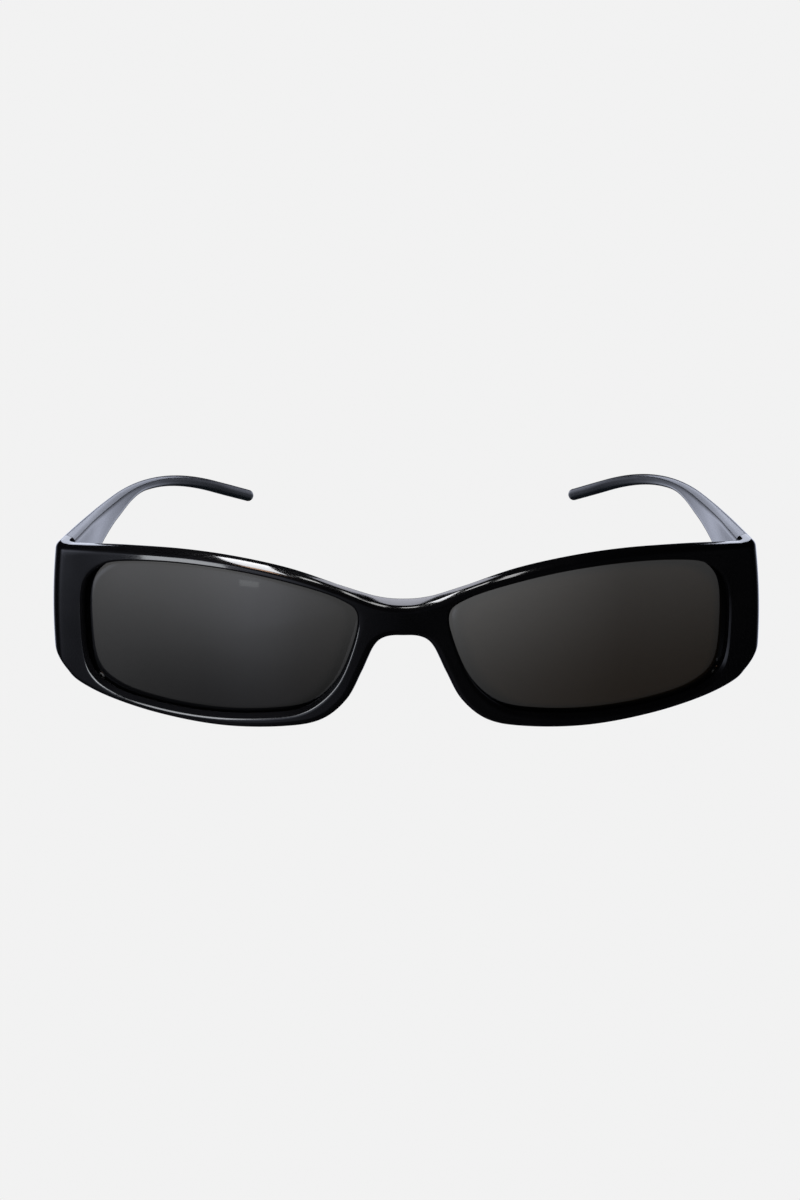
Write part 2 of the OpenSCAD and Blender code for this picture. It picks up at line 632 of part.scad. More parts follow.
arm_to = [wall_off - arm_in, arm_back];
module temple_leaf_plate(gap = 0) {
    low = [wall_off + temple_seat - leaf_gap - leaf_t, temple_leaf_back, -temple_leaf_h / 2];
    box(low - gap * [1, 1, 1], low + [leaf_t, temple_leaf_l, temple_leaf_h] + gap * [1, 1, 1]);
}
module temple_leaf_arms(gap = 0) {
    for (i = [1 : 2 : knuckle_n - 1]) at_knuckle(i)
        rotate([0, 0, -atan2(arm_to[0], arm_to[1])])
            box([-arm_w / 2 - gap, 0, -gap], [arm_w / 2 + gap, norm(arm_to) + gap, knuckle_h + gap]);
}
module temple_leaf_shape() {
    along_temple() difference() {
        union() {
            temple_leaf_plate();
            temple_leaf_arms();
            for (i = [1 : 2 : knuckle_n - 1]) at_knuckle(i) cylinder(d = knuckle_d, h = knuckle_h);
        }
        bore();
        at_temple_screws() leaf_screw(screw_gap);
    }
}
module temple_leaf_seat() {
    along_temple() {
        temple_leaf_plate(leaf_gap);
        temple_leaf_arms(leaf_gap);
        at_temple_screws() leaf_screw(screw_gap);
    }
}

// The trim's bar lies on the temple's outer face, with its length along its own y
trim_foot = temple_point(trim_back, -trim_low, 0);
trim_y = unit(temple_point(trim_back + trim_len * sin(trim_lean), trim_len * cos(trim_lean) - trim_low, 0)
              - trim_foot);
trim_z = unit(cross(temple_point(trim_back + 1, -trim_low, 0) - trim_foot, trim_y));
trim_x = cross(trim_y, trim_z);
module on_trim() {
    multmatrix([for (i = [0 : 2]) [trim_x[i], trim_y[i], trim_z[i], trim_foot[i]]]) children();
}
trim_deep = trim_seat - trim_gap;
module trim_posts(d, h) {
    for (y = [0, trim_len]) translate([0, y, -trim_deep - h]) cylinder(d = d, h = h + trim_gap);
}
module trim_shape() {
    r = trim_w / 2;
    h = trim_deep + trim_proud;
    side = [[r, 0], [r, h - trim_bevel], [r - trim_bevel, h]];
    on_trim() {
        translate([0, 0, -trim_deep]) {
            for (y = [0, trim_len])
                translate([0, y, 0]) rotate_extrude() polygon(concat([[0, 0]], side, [[0, h]]));
            translate([0, trim_len, 0]) rotate([90, 0, 0]) linear_extrude(trim_len)
                polygon(concat(side, [for (i = [len(side) - 1 : -1 : 0]) flipped(side[i])]));
        }
        trim_posts(post_d, post_l);
    }
}
module trim_seat_shape() {
    on_trim() {
        translate([0, 0, -trim_seat]) linear_extrude(trim_seat + trim_proud) {
            for (y = [0, trim_len]) translate([0, y]) circle(trim_w / 2 + trim_gap);
            translate([-trim_w / 2 - trim_gap, 0]) square([trim_w + 2 * trim_gap, trim_len]);
        }
        trim_posts(post_d + 2 * trim_gap, post_l + trim_gap);
    }
}

// The lens: rings on the opening's stations, from the middle of one face round the edge to the other.
// Its bevelled edge runs parallel to the groove's sides.
groove_slope = groove_w / 2 / groove;
lens_tip_in = groove - lens_gap * stretched(groove_slope) / groove_slope;
lens_edge_in = lens_t / 2 / groove_slope - lens_tip_in;
lens_rings = [1 / 3, 2 / 3, 1];
lens_middle = [bridge_w / 2 + opening_w / 2, (opening_top + opening_low) / 2];
function lens_point(i, share, depth) =
    let (q = mix(lens_middle, opening[i] - lens_edge_in * opening_normal(i), share))
    wrapped(q[0], q[1], depth - lens_bulge * (1 - share * share));
module lens_shape() {
    face_n = len(lens_rings);
    back = lens_depth + lens_t;
    rings = concat(
        [for (share = lens_rings) [for (i = [0 : station_n - 1]) lens_point(i, share, lens_depth)]],
        [[for (i = [0 : station_n - 1]) opening_point(i, lens_tip_in, groove_mid)]],
        [for (k = [face_n - 1 : -1 : 0]) [for (i = [0 : station_n - 1]) lens_point(i, lens_rings[k], back)]]
    );
    n = station_n * len(rings);
    polyhedron(
        concat(joined(rings), [lens_point(0, 0, lens_depth), lens_point(0, 0, back)]),
        concat(
            [for (r = [0 : len(rings) - 2], i = [0 : station_n - 1])
                each quad(r * station_n + i, r * station_n + (i + 1) % station_n,
                          (r + 1) * station_n + (i + 1) % station_n, (r + 1) * station_n + i, false)],
            [for (i = [0 : station_n - 1]) [n, i, (i + 1) % station_n]],
            [for (i = [0 : station_n - 1]) [n + 1, n - station_n + (i + 1) % station_n, n - station_n + i]]
        ), convexity = 4);
}

// Leaning back until rims and tips stand on one level: the angle at which their lowest points agree
tip_ring = tip_to - tip_round * tip_way;
function leaned(p, a) = [p[0], p[1] * cos(a) + p[2] * sin(a), p[2] * cos(a) - p[1] * sin(a)];
function tip_reach(axis, a) =
    (tip_r - tip_round) * sqrt(1 - pow(leaned(tip_way, a)[axis], 2)) + tip_round;
function rims_low(a) = min([for (p = rim_points) leaned(p, a)[2]]);
function tips_low(a) = leaned(tip_ring, a)[2] - tip_reach(2, a);
function find_lean(low, high, n) =
    let (a = (low + high) / 2)
    n == 0 ? a : tips_low(a) > rims_low(a) ? find_lean(a, high, n - 1) : find_lean(low, a, n - 1);
lean = find_lean(0, most_lean, lean_halvings);
lift = -rims_low(lean);
front_y = min([for (p = rim_points) leaned(p, lean)[1]]);
back_y = leaned(tip_ring, lean)[1] + tip_reach(1, lean);
module place() { translate([0, -(front_y + back_y) / 2, lift]) rotate([-lean, 0, 0]) children(); }
// The left side mirrors the right
module side(left) { mirror([left ? 1 : 0, 0, 0]) children(); }

module front_frame() {
    color([0.05, 0.05, 0.06]) place() difference() {
        front_shell();
        for (left = [false, true]) side(left) front_leaf_seat();
    }
}
module lens(left) { color([0.36, 0.33, 0.34, 0.8]) place() side(left) lens_shape(); }
module temple(left) {
    color([0.06, 0.06, 0.07]) place() side(left) difference() {
        union() {
            loft([for (l = arm_stations) temple_loop(l)], loop_first);
            tip();
        }
        wire_shape(wire_gap);
        temple_leaf_seat();
        trim_seat_shape();
    }
}
module core_wire(left) { color([0.62, 0.62, 0.65]) place() side(left) wire_shape(); }
module front_leaf(left) { color([0.58, 0.58, 0.6]) place() side(left) front_leaf_shape(); }
module temple_leaf(left) { color([0.58, 0.58, 0.6]) place() side(left) temple_leaf_shape(); }
module hinge_screw(left) {
    color([0.66, 0.66, 0.68]) place() side(left) at_hinge() difference() {
        union() {
            cylinder(d = pin_d, h = stack_h, center = true);
            translate([0, 0, stack_h / 2]) cylinder(d = pin_head_d, h = pin_head_h);
        }
        translate([-pin_head_d, -slot_w / 2, stack_h / 2 + pin_head_h - slot_deep])
            cube([2 * pin_head_d, slot_w, pin_head_h]);
    }
}
module front_leaf_screws(left) {
    color([0.66, 0.66, 0.68]) place() side(left) on_back_face() at_front_screws() leaf_screw();
}
module temple_leaf_screws(left) {
    color([0.66, 0.66, 0.68]) place() side(left) along_temple() at_temple_screws() leaf_screw();
}
module temple_trim(left) { color([0.3, 0.3, 0.32]) place() side(left) trim_shape(); }

front_frame();
lens(true);  // left_lens
lens(false);  // right_lens
temple(true);  // left_temple
temple(false);  // right_temple
core_wire(true);  // left_core_wire
core_wire(false);  // right_core_wire
front_leaf(true);  // left_front_leaf
front_leaf(false);  // right_front_leaf
temple_leaf(true);  // left_temple_leaf
temple_leaf(false);  // right_temple_leaf
hinge_screw(true);  // left_hinge_screw
hinge_screw(false);  // right_hinge_screw
front_leaf_screws(true);  // left_front_leaf_screws
front_leaf_screws(false);  // right_front_leaf_screws
temple_leaf_screws(true);  // left_temple_leaf_screws
temple_leaf_screws(false);  // right_temple_leaf_screws
temple_trim(true);  // left_temple_trim
temple_trim(false);  // right_temple_trim
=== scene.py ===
# %% [markdown]
# # Wrapped sunglasses, dressed for a studio picture
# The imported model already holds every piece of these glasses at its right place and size. This lesson
# lays finer surfaces over the moulded plastic and the lenses, keeps the small metal parts as they are,
# and gives each surface the finish that such glasses have.

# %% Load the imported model
import math
import bpy
import numpy as np
from mathutils import Matrix, Vector


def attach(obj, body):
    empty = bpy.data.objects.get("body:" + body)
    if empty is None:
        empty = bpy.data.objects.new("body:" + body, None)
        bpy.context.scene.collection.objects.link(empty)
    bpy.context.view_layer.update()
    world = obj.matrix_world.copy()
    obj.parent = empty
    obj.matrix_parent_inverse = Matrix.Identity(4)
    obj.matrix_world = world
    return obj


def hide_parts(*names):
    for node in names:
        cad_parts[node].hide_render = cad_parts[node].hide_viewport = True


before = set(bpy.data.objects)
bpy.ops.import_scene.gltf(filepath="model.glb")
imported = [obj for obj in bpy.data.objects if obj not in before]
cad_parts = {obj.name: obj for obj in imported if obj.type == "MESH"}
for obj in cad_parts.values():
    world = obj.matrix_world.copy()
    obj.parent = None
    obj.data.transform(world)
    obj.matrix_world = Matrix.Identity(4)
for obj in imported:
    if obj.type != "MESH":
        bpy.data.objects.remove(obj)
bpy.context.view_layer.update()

# %% [markdown]
# ## The glasses' own frame
# Every shape below is worked out in millimetres with the front upright: x to the right, y backwards
# and z up, with the origin on the face at the middle of the bridge. The real glasses stand on their
# lower rims and their temple tips, so they lean back a little. One function carries a finished
# surface from that upright frame to the model's frame, in metres.

# %% From the upright frame to the model's frame
LEAN = math.radians(6.21075)
MIDDLE, LIFT = 61.065539, 22.1321
HINGE = [64.534, 21.630, 5.2]


def leaned(v):
    """Turns vectors back by LEAN about x: y becomes y cos + z sin, and z becomes z cos - y sin."""
    x, y, z = np.moveaxis(np.asarray(v, float), -1, 0)
    return np.stack([x, y * math.cos(LEAN) + z * math.sin(LEAN),
                     z * math.cos(LEAN) - y * math.sin(LEAN)], -1)


def standing(p):
    """Leans points back, moves them forwards by MIDDLE and up by LIFT, and turns mm into metres."""
    return (leaned(p) + [0, -MIDDLE, LIFT]) / 1000


print("hinge at", standing(HINGE).round(5))

# %% [markdown]
# ## Camera
# The picture looks down on the front from a little to its left. The direction, the distance and the
# small roll were fitted to the outline of the front in the picture, and the shift only puts the
# glasses at the right place in the frame. The focal length and the shift are given in its pixels.

# %% Place the camera
YAW, PITCH, ROLL = (math.radians(a) for a in (0.971, 20.5, -0.425))
AIM, DISTANCE = np.array([0.202, 0, 0]), 300
FOCAL_PX, PICTURE_PX, SHIFT_PX = 1587, 1200, (-4.5, 33)
SENSOR = 36
ahead = np.array([-math.sin(YAW) * math.cos(PITCH), math.cos(YAW) * math.cos(PITCH), -math.sin(PITCH)])
right = np.cross(ahead, [0, 0, 1])
right /= np.linalg.norm(right)
up = np.cross(right, ahead)
axes = [right * math.cos(ROLL) + up * math.sin(ROLL), up * math.cos(ROLL) - right * math.sin(ROLL), -ahead]
turned = Matrix([list(a) for a in zip(*leaned(axes))])
eye = Vector(standing(AIM - DISTANCE * ahead))

camera = bpy.data.objects.new("camera", bpy.data.cameras.new("camera"))
bpy.context.collection.objects.link(camera)
camera.matrix_world = Matrix.Translation(eye) @ turned.to_4x4()
camera.data.sensor_fit = "VERTICAL"
camera.data.sensor_height = SENSOR
camera.data.lens = SENSOR * FOCAL_PX / PICTURE_PX
camera.data.shift_x, camera.data.shift_y = (v / PICTURE_PX for v in SHIFT_PX)
camera.data.clip_start = 0.01
bpy.context.scene.camera = camera
print("camera at", [round(v, 4) for v in eye], "lens", round(camera.data.lens, 2), "mm")

# %% [markdown]
# ## Shader arithmetic
# A finish is easier to read as a formula than as a web of boxes. One small class wraps a socket, so
# that adding or multiplying two of them adds the Math node, and one method makes any other node.

# %% A socket that does arithmetic, and a finish that makes nodes
class Signal:
    """A socket in a formula: each operator adds one Math node."""

    def __init__(self, finish, socket):
        self.finish, self.socket = finish, socket

    def math(self, operation, *values):
        return self.finish.node("ShaderNodeMath", {"operation": operation}, dict(enumerate(values)))

    def __add__(self, other):
        return self.math("ADD", self, other)

    def __rsub__(self, other):
        return self.math("SUBTRACT", other, self)

    def __mul__(self, other):
        return self.math("MULTIPLY", self, other)

    def __pow__(self, other):
        return self.math("POWER", self, other)

    __radd__, __rmul__ = __add__, __mul__


class Finish:
    """A node tree that is written as formulas: a material's, or the world's."""

    def __init__(self, owner):
        owner.use_nodes = True
        self.owner, self.tree = owner, owner.node_tree
        self.tree.nodes.clear()

    def node(self, kind, settings={}, inputs={}, out=0):
        """Adds a node, makes its settings, fills its inputs, and gives one of its outputs."""
        made = self.tree.nodes.new(kind)
        for name, value in settings.items():
            if name == "stops":
                ramp = made.color_ramp.elements
                while len(ramp) < len(value):
                    ramp.new(1)
                for stop, (place, colour) in zip(ramp, value):
                    stop.position, stop.color = place, colour
            else:
                setattr(made, name, value)
        for name, value in inputs.items():
            if isinstance(value, Signal):
                self.tree.links.new(value.socket, made.inputs[name])
            else:
                made.inputs[name].default_value = value
        return Signal(self, made.outputs[out]) if len(made.outputs) else None

    def spot(self):
        """The place on the object, in metres."""
        return self.node("ShaderNodeTexCoord", out="Object")

    def noise(self, scale, detail=2, stretch=(1, 1, 1)):
        """Soft random spots, scale of them to a metre, drawn out where stretch is below 1."""
        place = self.node("ShaderNodeMapping", {"vector_type": "POINT"},
                          {"Vector": self.spot(), "Scale": stretch})
        return self.node("ShaderNodeTexNoise", {}, {"Vector": place, "Scale": scale, "Detail": detail})

    def ramp(self, value, *stops):
        """Turns a value into a grey or a colour by stops of (place, colour)."""
        return self.node("ShaderNodeValToRGB", {"stops": [(p, (*c, 1)) for p, c in stops]}, {"Fac": value})

    def spread(self, value, low, high):
        """0 at low and 1 at high, even in between, and held beyond."""
        return self.node("ShaderNodeMapRange", {"clamp": True},
                         {"Value": value, "From Min": low, "From Max": high}, "Result")

    def bump(self, height, distance):
        """Fine relief: a height from 0 to 1 that stands distance metres tall."""
        return self.node("ShaderNodeBump", {}, {"Height": height, "Distance": distance, "Strength": 1.0})


def surface(name, make):
    """A material with one glossy shader: make gives its socket values from its Finish."""
    material = bpy.data.materials.new(name)
    finish = Finish(material)
    shader = finish.node("ShaderNodeBsdfPrincipled", {}, make(finish))
    finish.node("ShaderNodeOutputMaterial", {}, {"Surface": shader})
    return material


# %% [markdown]
# ## Black moulded plastic
# The front and the temples are injection-moulded nylon, tumbled until it shines like lacquer. Up close
# such a surface isn't a perfect mirror: it has a faint waviness from the mould, thousands of hairline
# rubs from the tumbling, and patches that handling has left a shade duller and paler. Noise at four
# scales gives these, and nearly all of it goes into roughness and relief, because the colour is one deep
# black. The temples are less glossy than the front, and their black is drawn a touch bluer and paler: a
# painted sheen that stands in for the bluish light that their faces mirror.

# %% Finish of the plastic
FRONT_SHADE, FRONT_ROUGH = (0.0018, 0.0018, 0.0021), 0.1
# The temples' colour is a painted sheen: a bluer, paler black than the front's, for mirrored light.
TEMPLE_SHEEN_SHADE, TEMPLE_ROUGH = (0.0045, 0.006, 0.008), 0.15
WORN_ROUGH, RUB_ROUGH, COAT, COAT_ROUGH, RELIEF = 0.05, 0.04, 0.25, 0.04, 0.00002


def black_plastic(finish, shade, rough):
    """Solid black: worn patches and rubs add to its roughness; waves, grain and rubs make its relief."""
    patches = finish.noise(90, 3)
    rubs = finish.noise(2600, 2, (1, 0.12, 1))
    waves = finish.noise(160, 2)
    grain = finish.noise(9000, 2)
    worn = finish.spread(patches, 0.35, 0.75)
    roughness = rough + WORN_ROUGH * worn + RUB_ROUGH * finish.spread(rubs, 0.45, 0.8)
    tone = finish.ramp(worn, (0, shade), (1, tuple(1.5 * c for c in shade)))
    height = waves * 0.9 + grain * 0.02 + rubs * 0.02
    return {"Base Color": tone, "Roughness": roughness, "IOR": 1.5, "Coat Weight": COAT,
            "Coat Roughness": COAT_ROUGH, "Normal": finish.bump(height, RELIEF)}


front_black = surface("black plastic", lambda f: black_plastic(f, FRONT_SHADE, FRONT_ROUGH))
temple_black = surface("black temple plastic", lambda f: black_plastic(f, TEMPLE_SHEEN_SHADE, TEMPLE_ROUGH))
print("plastic finishes ready")

# %% [markdown]
# ## Smoke lens
# A sunglass lens is tinted through: it swallows most light. The share that comes through both faces grows
# towards the top, and a little more near the nose and at the outer end of the left lens, while the right
# lens stays darker and browner towards its end. A soft spot on the left lens lets more through: a painted
# highlight. Each face's opacity does half of the work, so the share is put under a square root. The edge
# in the groove takes no light, so it is drawn nearly black, as painted shade. Faint wiping marks keep the
# shine from looking like plain glass.

# %% Finish of the lens
LENS_LOW, LENS_HIGH = 0.004, 0.0345
# Centre of a painted highlight on the left lens, in metres.
GLARE_CENTRE = (-0.036, -0.055, 0.034)
NEUTRAL, BROWN, GROOVE_SHADE_BLACK = (0.011, 0.0105, 0.0105), (0.019, 0.0125, 0.007), (0.001, 0.001, 0.001, 1)
LENS_BASE, LENS_GAIN, LENS_POWER, NOSE_GAIN = 0.012, 0.046, 1.6, 1.1
GLARE_GAIN, LEFT_GAIN, RIGHT_LOSS = 0.028, 0.03, 0.28
LENS_ROUGH, WIPED_ROUGH, LENS_RELIEF = 0.03, 0.05, 0.000006


def smoke_lens(finish):
    """The share of light that comes through: a base, and a gain by a power of the height, both raised
    towards the nose; then a soft spot of painted highlight and the left lens's outer end are added, and the
    right lens's outer end takes a part away. The edge is 1 in the groove and falls towards the lens's
    middle."""
    split = finish.node("ShaderNodeSeparateXYZ", {}, {"Vector": finish.spot()}).socket.node
    across, up_way = (Signal(finish, split.outputs[k]) for k in (0, 2))
    height = finish.spread(up_way, LENS_LOW, LENS_HIGH)
    near_nose = finish.spread(across, 0.042, 0.009) * finish.spread(across, 0.0, 0.001)
    # Painted highlight: a soft spot round a fixed point lets more light through, for a glare on the lens.
    from_glare = finish.node("ShaderNodeVectorMath", {"operation": "DISTANCE"},
                            {0: finish.spot(), 1: GLARE_CENTRE}, "Value")
    spot = finish.spread(from_glare, 0.03, 0.004) ** 1.5
    left_end = LEFT_GAIN * finish.spread(across, -0.04, -0.062) * (0.3 + 0.7 * height)
    right_end = RIGHT_LOSS * finish.spread(across, 0.014, 0.045)
    through_both = (LENS_BASE + LENS_GAIN * height ** LENS_POWER) * (1 + NOSE_GAIN * near_nose)
    through_both = (through_both + GLARE_GAIN * spot + left_end) * (1 - right_end)
    wiped = finish.noise(300, 3, (0.3, 1, 1))
    tint = finish.ramp(finish.spread(across, -0.03, 0.03), (0, NEUTRAL), (1, BROWN))
    # Painted shade: where the lens's edge lies in the groove, its colour is drawn nearly black.
    edge = finish.node("ShaderNodeAttribute", {"attribute_name": "edge"}, out="Fac")
    tint = finish.node("ShaderNodeMix", {"data_type": "RGBA"},
                       {0: finish.spread(edge, 0.88, 0.96), 6: tint, 7: GROOVE_SHADE_BLACK}, 2)
    return {"Base Color": tint, "Alpha": 1 - through_both ** 0.5,
            "Roughness": LENS_ROUGH + WIPED_ROUGH * finish.spread(wiped, 0.5, 0.8), "IOR": 1.5,
            "Normal": finish.bump(finish.noise(120, 1), LENS_RELIEF)}


lens_smoke = surface("smoke lens", smoke_lens)
print("lens finish ready")

# %% [markdown]
# ## Metals
# The hinge leaves are stamped nickel silver with a satin face, the screws are turned steel and a bit
# brighter, the core wire is drawn, and the temple trims are plated in dark gunmetal and polished. Each
# metal's own working marks set its roughness: long streaks on the leaves and the wire, short ones on the
# trims, and even specks on the screws.

# %% Finishes of the metals
NICKEL, STEEL, WIRE = (0.52, 0.50, 0.46), (0.62, 0.61, 0.60), (0.55, 0.54, 0.52)
GUNMETAL = (0.055, 0.055, 0.062)
METAL_RELIEF = 0.000008


def worked_metal(finish, colour, rough, streak, grow=0.12):
    """Metal whose working marks are drawn out by streak and add up to grow to its roughness."""
    marks = finish.noise(5200, 3, streak)
    spots = finish.noise(700, 3)
    tone = finish.ramp(finish.spread(spots, 0.35, 0.7), (0, tuple(0.82 * c for c in colour)), (1, colour))
    return {"Base Color": tone, "Metallic": 1.0, "Normal": finish.bump(marks, METAL_RELIEF),
            "Roughness": rough + grow * finish.spread(marks, 0.3, 0.75)}


satin_leaf = surface("satin hinge metal", lambda f: worked_metal(f, NICKEL, 0.26, (1, 1, 0.06)))
bright_screw = surface("bright screw metal", lambda f: worked_metal(f, STEEL, 0.16, (1, 1, 1)))
drawn_wire = surface("drawn wire", lambda f: worked_metal(f, WIRE, 0.3, (1, 0.04, 1)))
gunmetal = surface("gunmetal trim", lambda f: worked_metal(f, GUNMETAL, 0.14, (1, 0.3, 0.3), 0.08))
print("metal finishes ready")

# %% [markdown]
# ## Making a piece from arrays
# Each plastic piece is one closed surface that is worked out as whole arrays of points. The helper below
# drops the points that no face uses, turns the faces outwards by the sign of the enclosed volume, and
# hands the mesh over to the body that carries it.

# %% Arrays to a finished piece
def enclosed(points, quads):
    """Six times the volume: each four-sided face is cut in two, and the triple products are added."""
    a, b, c, d = (points[quads[:, k]] for k in range(4))
    return np.einsum("ij,ij->", a, np.cross(b, c)) + np.einsum("ij,ij->", a, np.cross(c, d))


def make_piece(name, points, quads, material, body, nodes, sharp=35, edge=None):
    """A closed mesh from points in the upright frame, mm. A quad that repeats a corner is a triangle.
    Edges that bend by more than sharp degrees stay crisp. Edge may hold a number for each point, which
    the finish reads."""
    if enclosed(points, quads) < 0:
        quads = quads[:, ::-1]
    used, quads = np.unique(quads, return_inverse=True)
    quads = quads.reshape(-1, 4)
    corners = [face if len(set(face)) == 4 else list(dict.fromkeys(face)) for face in quads.tolist()]
    mesh = bpy.data.meshes.new(name)
    mesh.from_pydata(standing(points[used]).tolist(), [], corners)
    if edge is not None:
        mesh.attributes.new("edge", "FLOAT", "POINT").data.foreach_set("value", edge[used])
    mesh.validate()
    mesh.shade_smooth()
    mesh.set_sharp_from_angle(angle=math.radians(sharp))
    mesh.materials.append(material)
    piece = bpy.data.objects.new(name, mesh)
    bpy.context.collection.objects.link(piece)
    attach(piece, body)
    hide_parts(*nodes)
    print(name, len(used), "points", len(corners), "faces")


def smooth(t):
    """Soft step from 0 to 1: 3 t squared less 2 t cubed, between 0 and 1."""
    t = np.clip(t, 0, 1)
    return t * t * (3 - 2 * t)


def mix(a, b, t):
    """Straight blend from a to b."""
    return a + (b - a) * t


def unit(v):
    """Vectors of length one."""
    return v / np.linalg.norm(v, axis=-1, keepdims=True)


# %% [markdown]
# ## The wrap
# A wrapped front is easiest to draw flat, as it would look if it were rolled out: s runs along the outer
# face from the middle, z is the height and d the depth behind the face. Then it is bent: s follows a wide
# arc, a tight corner at the endpiece, and a short straight return to the seam with the temple.

# %% Sizes of the front, and the bend
WRAP_R, FRONT_T, EDGE_R = 142.0, 3.8, 1.3
BEVEL, LOW_BEVEL, RIDGE, LOW_RIDGE = 0.35, 0.95, 0.2, 0.8
BRIDGE_TOP, BRIDGE_LOW, BRIDGE_W = 5.1, -0.85, 17.4
OPEN_W, OPEN_H, OPEN_TOP = 58.3, 30.35, 11.65
OPEN_LOW = OPEN_TOP - OPEN_H
BROW, CHIN = OPEN_TOP + 2.25, OPEN_LOW - 2.75
REACH = BRIDGE_W / 2 + OPEN_W
CORNER_S, CORNER_R, END_TOP, END_LOW, SEAM_LOW = 72.5, 4.6, 12.2, 14.7, 9.5
RETURN_LEN, MITRE, SEAM_GAP, TOE_IN = 3.6, 0.9, 0.12, math.radians(6)
CORNER_BOW, CORNER_WIDEST, CORNER_SLOPE = 0.0048, -12.0, 0.9
STRETCH = math.sqrt(1 + CORNER_SLOPE ** 2)
BRIDGE_DEEPER, BRIDGE_FADE = 2.4, 0.2 * REACH
REST_DEEPER, REST_Z, REST_HALF, REST_IN, REST_FADE = 2.0, -7.8, 7.0, 9.0, 6.0
CROWN, CROWN_IN, CROWN_OUT, CROWN_RISE, CROWN_FALL = 0.85, 15.0, 52.0, 8.0, 14.0


def corner_start(z):
    """Where the corner starts at a height: its widest place less a share of the squared distance."""
    return CORNER_S - CORNER_BOW * (z - CORNER_WIDEST) ** 2


def side_run(z):
    """Length of the corner's arc at a height, and of the straight return behind it."""
    return CORNER_R * (math.pi / 2 + TOE_IN - corner_start(z) / WRAP_R) + RETURN_LEN


def wrapped(s, z, d):
    """Bends flat places: an angle s / radius on the wide arc, then one on the corner, then straight on."""
    s, z, d = np.broadcast_arrays(*(np.asarray(v, float) for v in (s, z, d)))
    start = corner_start(z)
    first = np.minimum(s, start) / WRAP_R
    past = s - start
    arc = side_run(z) - RETURN_LEN
    angle = first + np.clip(past, 0, arc) / CORNER_R
    on = np.maximum(0, past - arc)
    tight = past > 0
    radius = np.where(tight, CORNER_R, WRAP_R) - d
    hub_x = np.where(tight, (WRAP_R - CORNER_R) * np.sin(first), 0)
    hub_y = np.where(tight, WRAP_R - (WRAP_R - CORNER_R) * np.cos(first), WRAP_R)
    return np.stack([hub_x + radius * np.sin(angle) + on * np.cos(angle),
                     hub_y - radius * np.cos(angle) + on * np.sin(angle), z], -1)


print("half width", wrapped(CORNER_S + 3, -5, 0).round(2))

# %% [markdown]
# ## Outlines of the front
# Three drawn lines give the front its looks: the lens opening, the upper edge from the bridge over the
# brow to the endpiece, and the lower edge back to the bridge. Each goes smoothly through a few measured
# points, given as shares of the width and height, and is then cut into steps. The steps of the opening
# and of the outline pair up across the rim, so a pace sets them finer or coarser to keep the pairs close.

# %% Smooth lines through the measured points
TOP_N, SIDE_N, LOW_N, NOSE_N = 136, 28, 160, 20
SIDE_AT, LOW_AT, NOSE_AT = TOP_N, TOP_N + SIDE_N, TOP_N + SIDE_N + LOW_N
STATIONS = NOSE_AT + NOSE_N
LOW_SHARE = LOW_N / (LOW_N + NOSE_N)
EVEN = ((0, 1), (0, 1))
OPEN_TOP_PACE = ((0, 0.2, 0.8, 1), (0, 0.11, 0.8, 1))
OPEN_LOW_PACE = ((0, 0.8 * LOW_SHARE, LOW_SHARE, 1), (0, 0.839, 0.98, 1))
LOWER_PACE = ((0, 0.8, 1), (0, 0.84, 1))
FINE = 24


def through(points, before, after, steps, pace=EVEN):
    """Cubic curve through the points, each slope from its neighbours, cut into steps of length. The pace
    is a table: shares of the steps, and the shares of the length that they have reached."""
    p = np.vstack([before, points, after])
    t = np.linspace(0, 1, FINE, endpoint=False)[None, :, None]
    a, b, c, d = (p[k:len(p) - 3 + k, None] for k in range(4))
    run = 0.5 * (2 * b + (c - a) * t + (2 * a - 5 * b + 4 * c - d) * t ** 2
                 + (3 * b - a - 3 * c + d) * t ** 3)
    run = np.vstack([run.reshape(-1, 2), p[-2]])
    length = np.concatenate([[0], np.cumsum(np.linalg.norm(np.diff(run, axis=0), axis=1))])
    at = length[-1] * np.interp(np.linspace(0, 1, steps + 1), *pace)
    return np.stack([np.interp(at, length, run[:, k]) for k in (0, 1)], -1)


opening_shares = np.array([
    [0, 0.278], [0.055, 0.174], [0.195, 0.089], [0.385, 0.023], [0.592, 0], [0.782, 0.021], [0.898, 0.077],
    [0.978, 0.225], [1, 0.511], [0.985, 0.8], [0.892, 0.928], [0.713, 0.985], [0.506, 1], [0.316, 0.972],
    [0.181, 0.91], [0.085, 0.752], [0.028, 0.528]])
upper_shares = np.array([
    [0, 0], [0.0746, 0.08], [0.1789, 0.375], [0.328, 0.727], [0.492, 0.93], [0.656, 1], [0.835, 0.95],
    [0.984, 0.85]])
lower_shares = np.array([
    [1.0373, 0.778], [0.9254, 0.88], [0.7465, 0.964], [0.5447, 1], [0.3579, 0.956], [0.2435, 0.864],
    [0.167, 0.649], [0.1222, 0.37], [0.1045, 0.24], [0.0888, 0.1286], [0.0731, 0.058], [0.0537, 0.0185],
    [0.0299, 0.001], [0, 0]])
flip = np.array([-1, 1])

ring = opening_shares * [OPEN_W, -OPEN_H] + [BRIDGE_W / 2, OPEN_TOP]


def ring_part(first, count, steps, pace=EVEN):
    """One stretch of the opening's ring, without its last point."""
    part = ring[np.arange(first - 1, first + count + 2) % len(ring)]
    return through(part[1:-1], part[0], part[-1], steps, pace)[:-1]


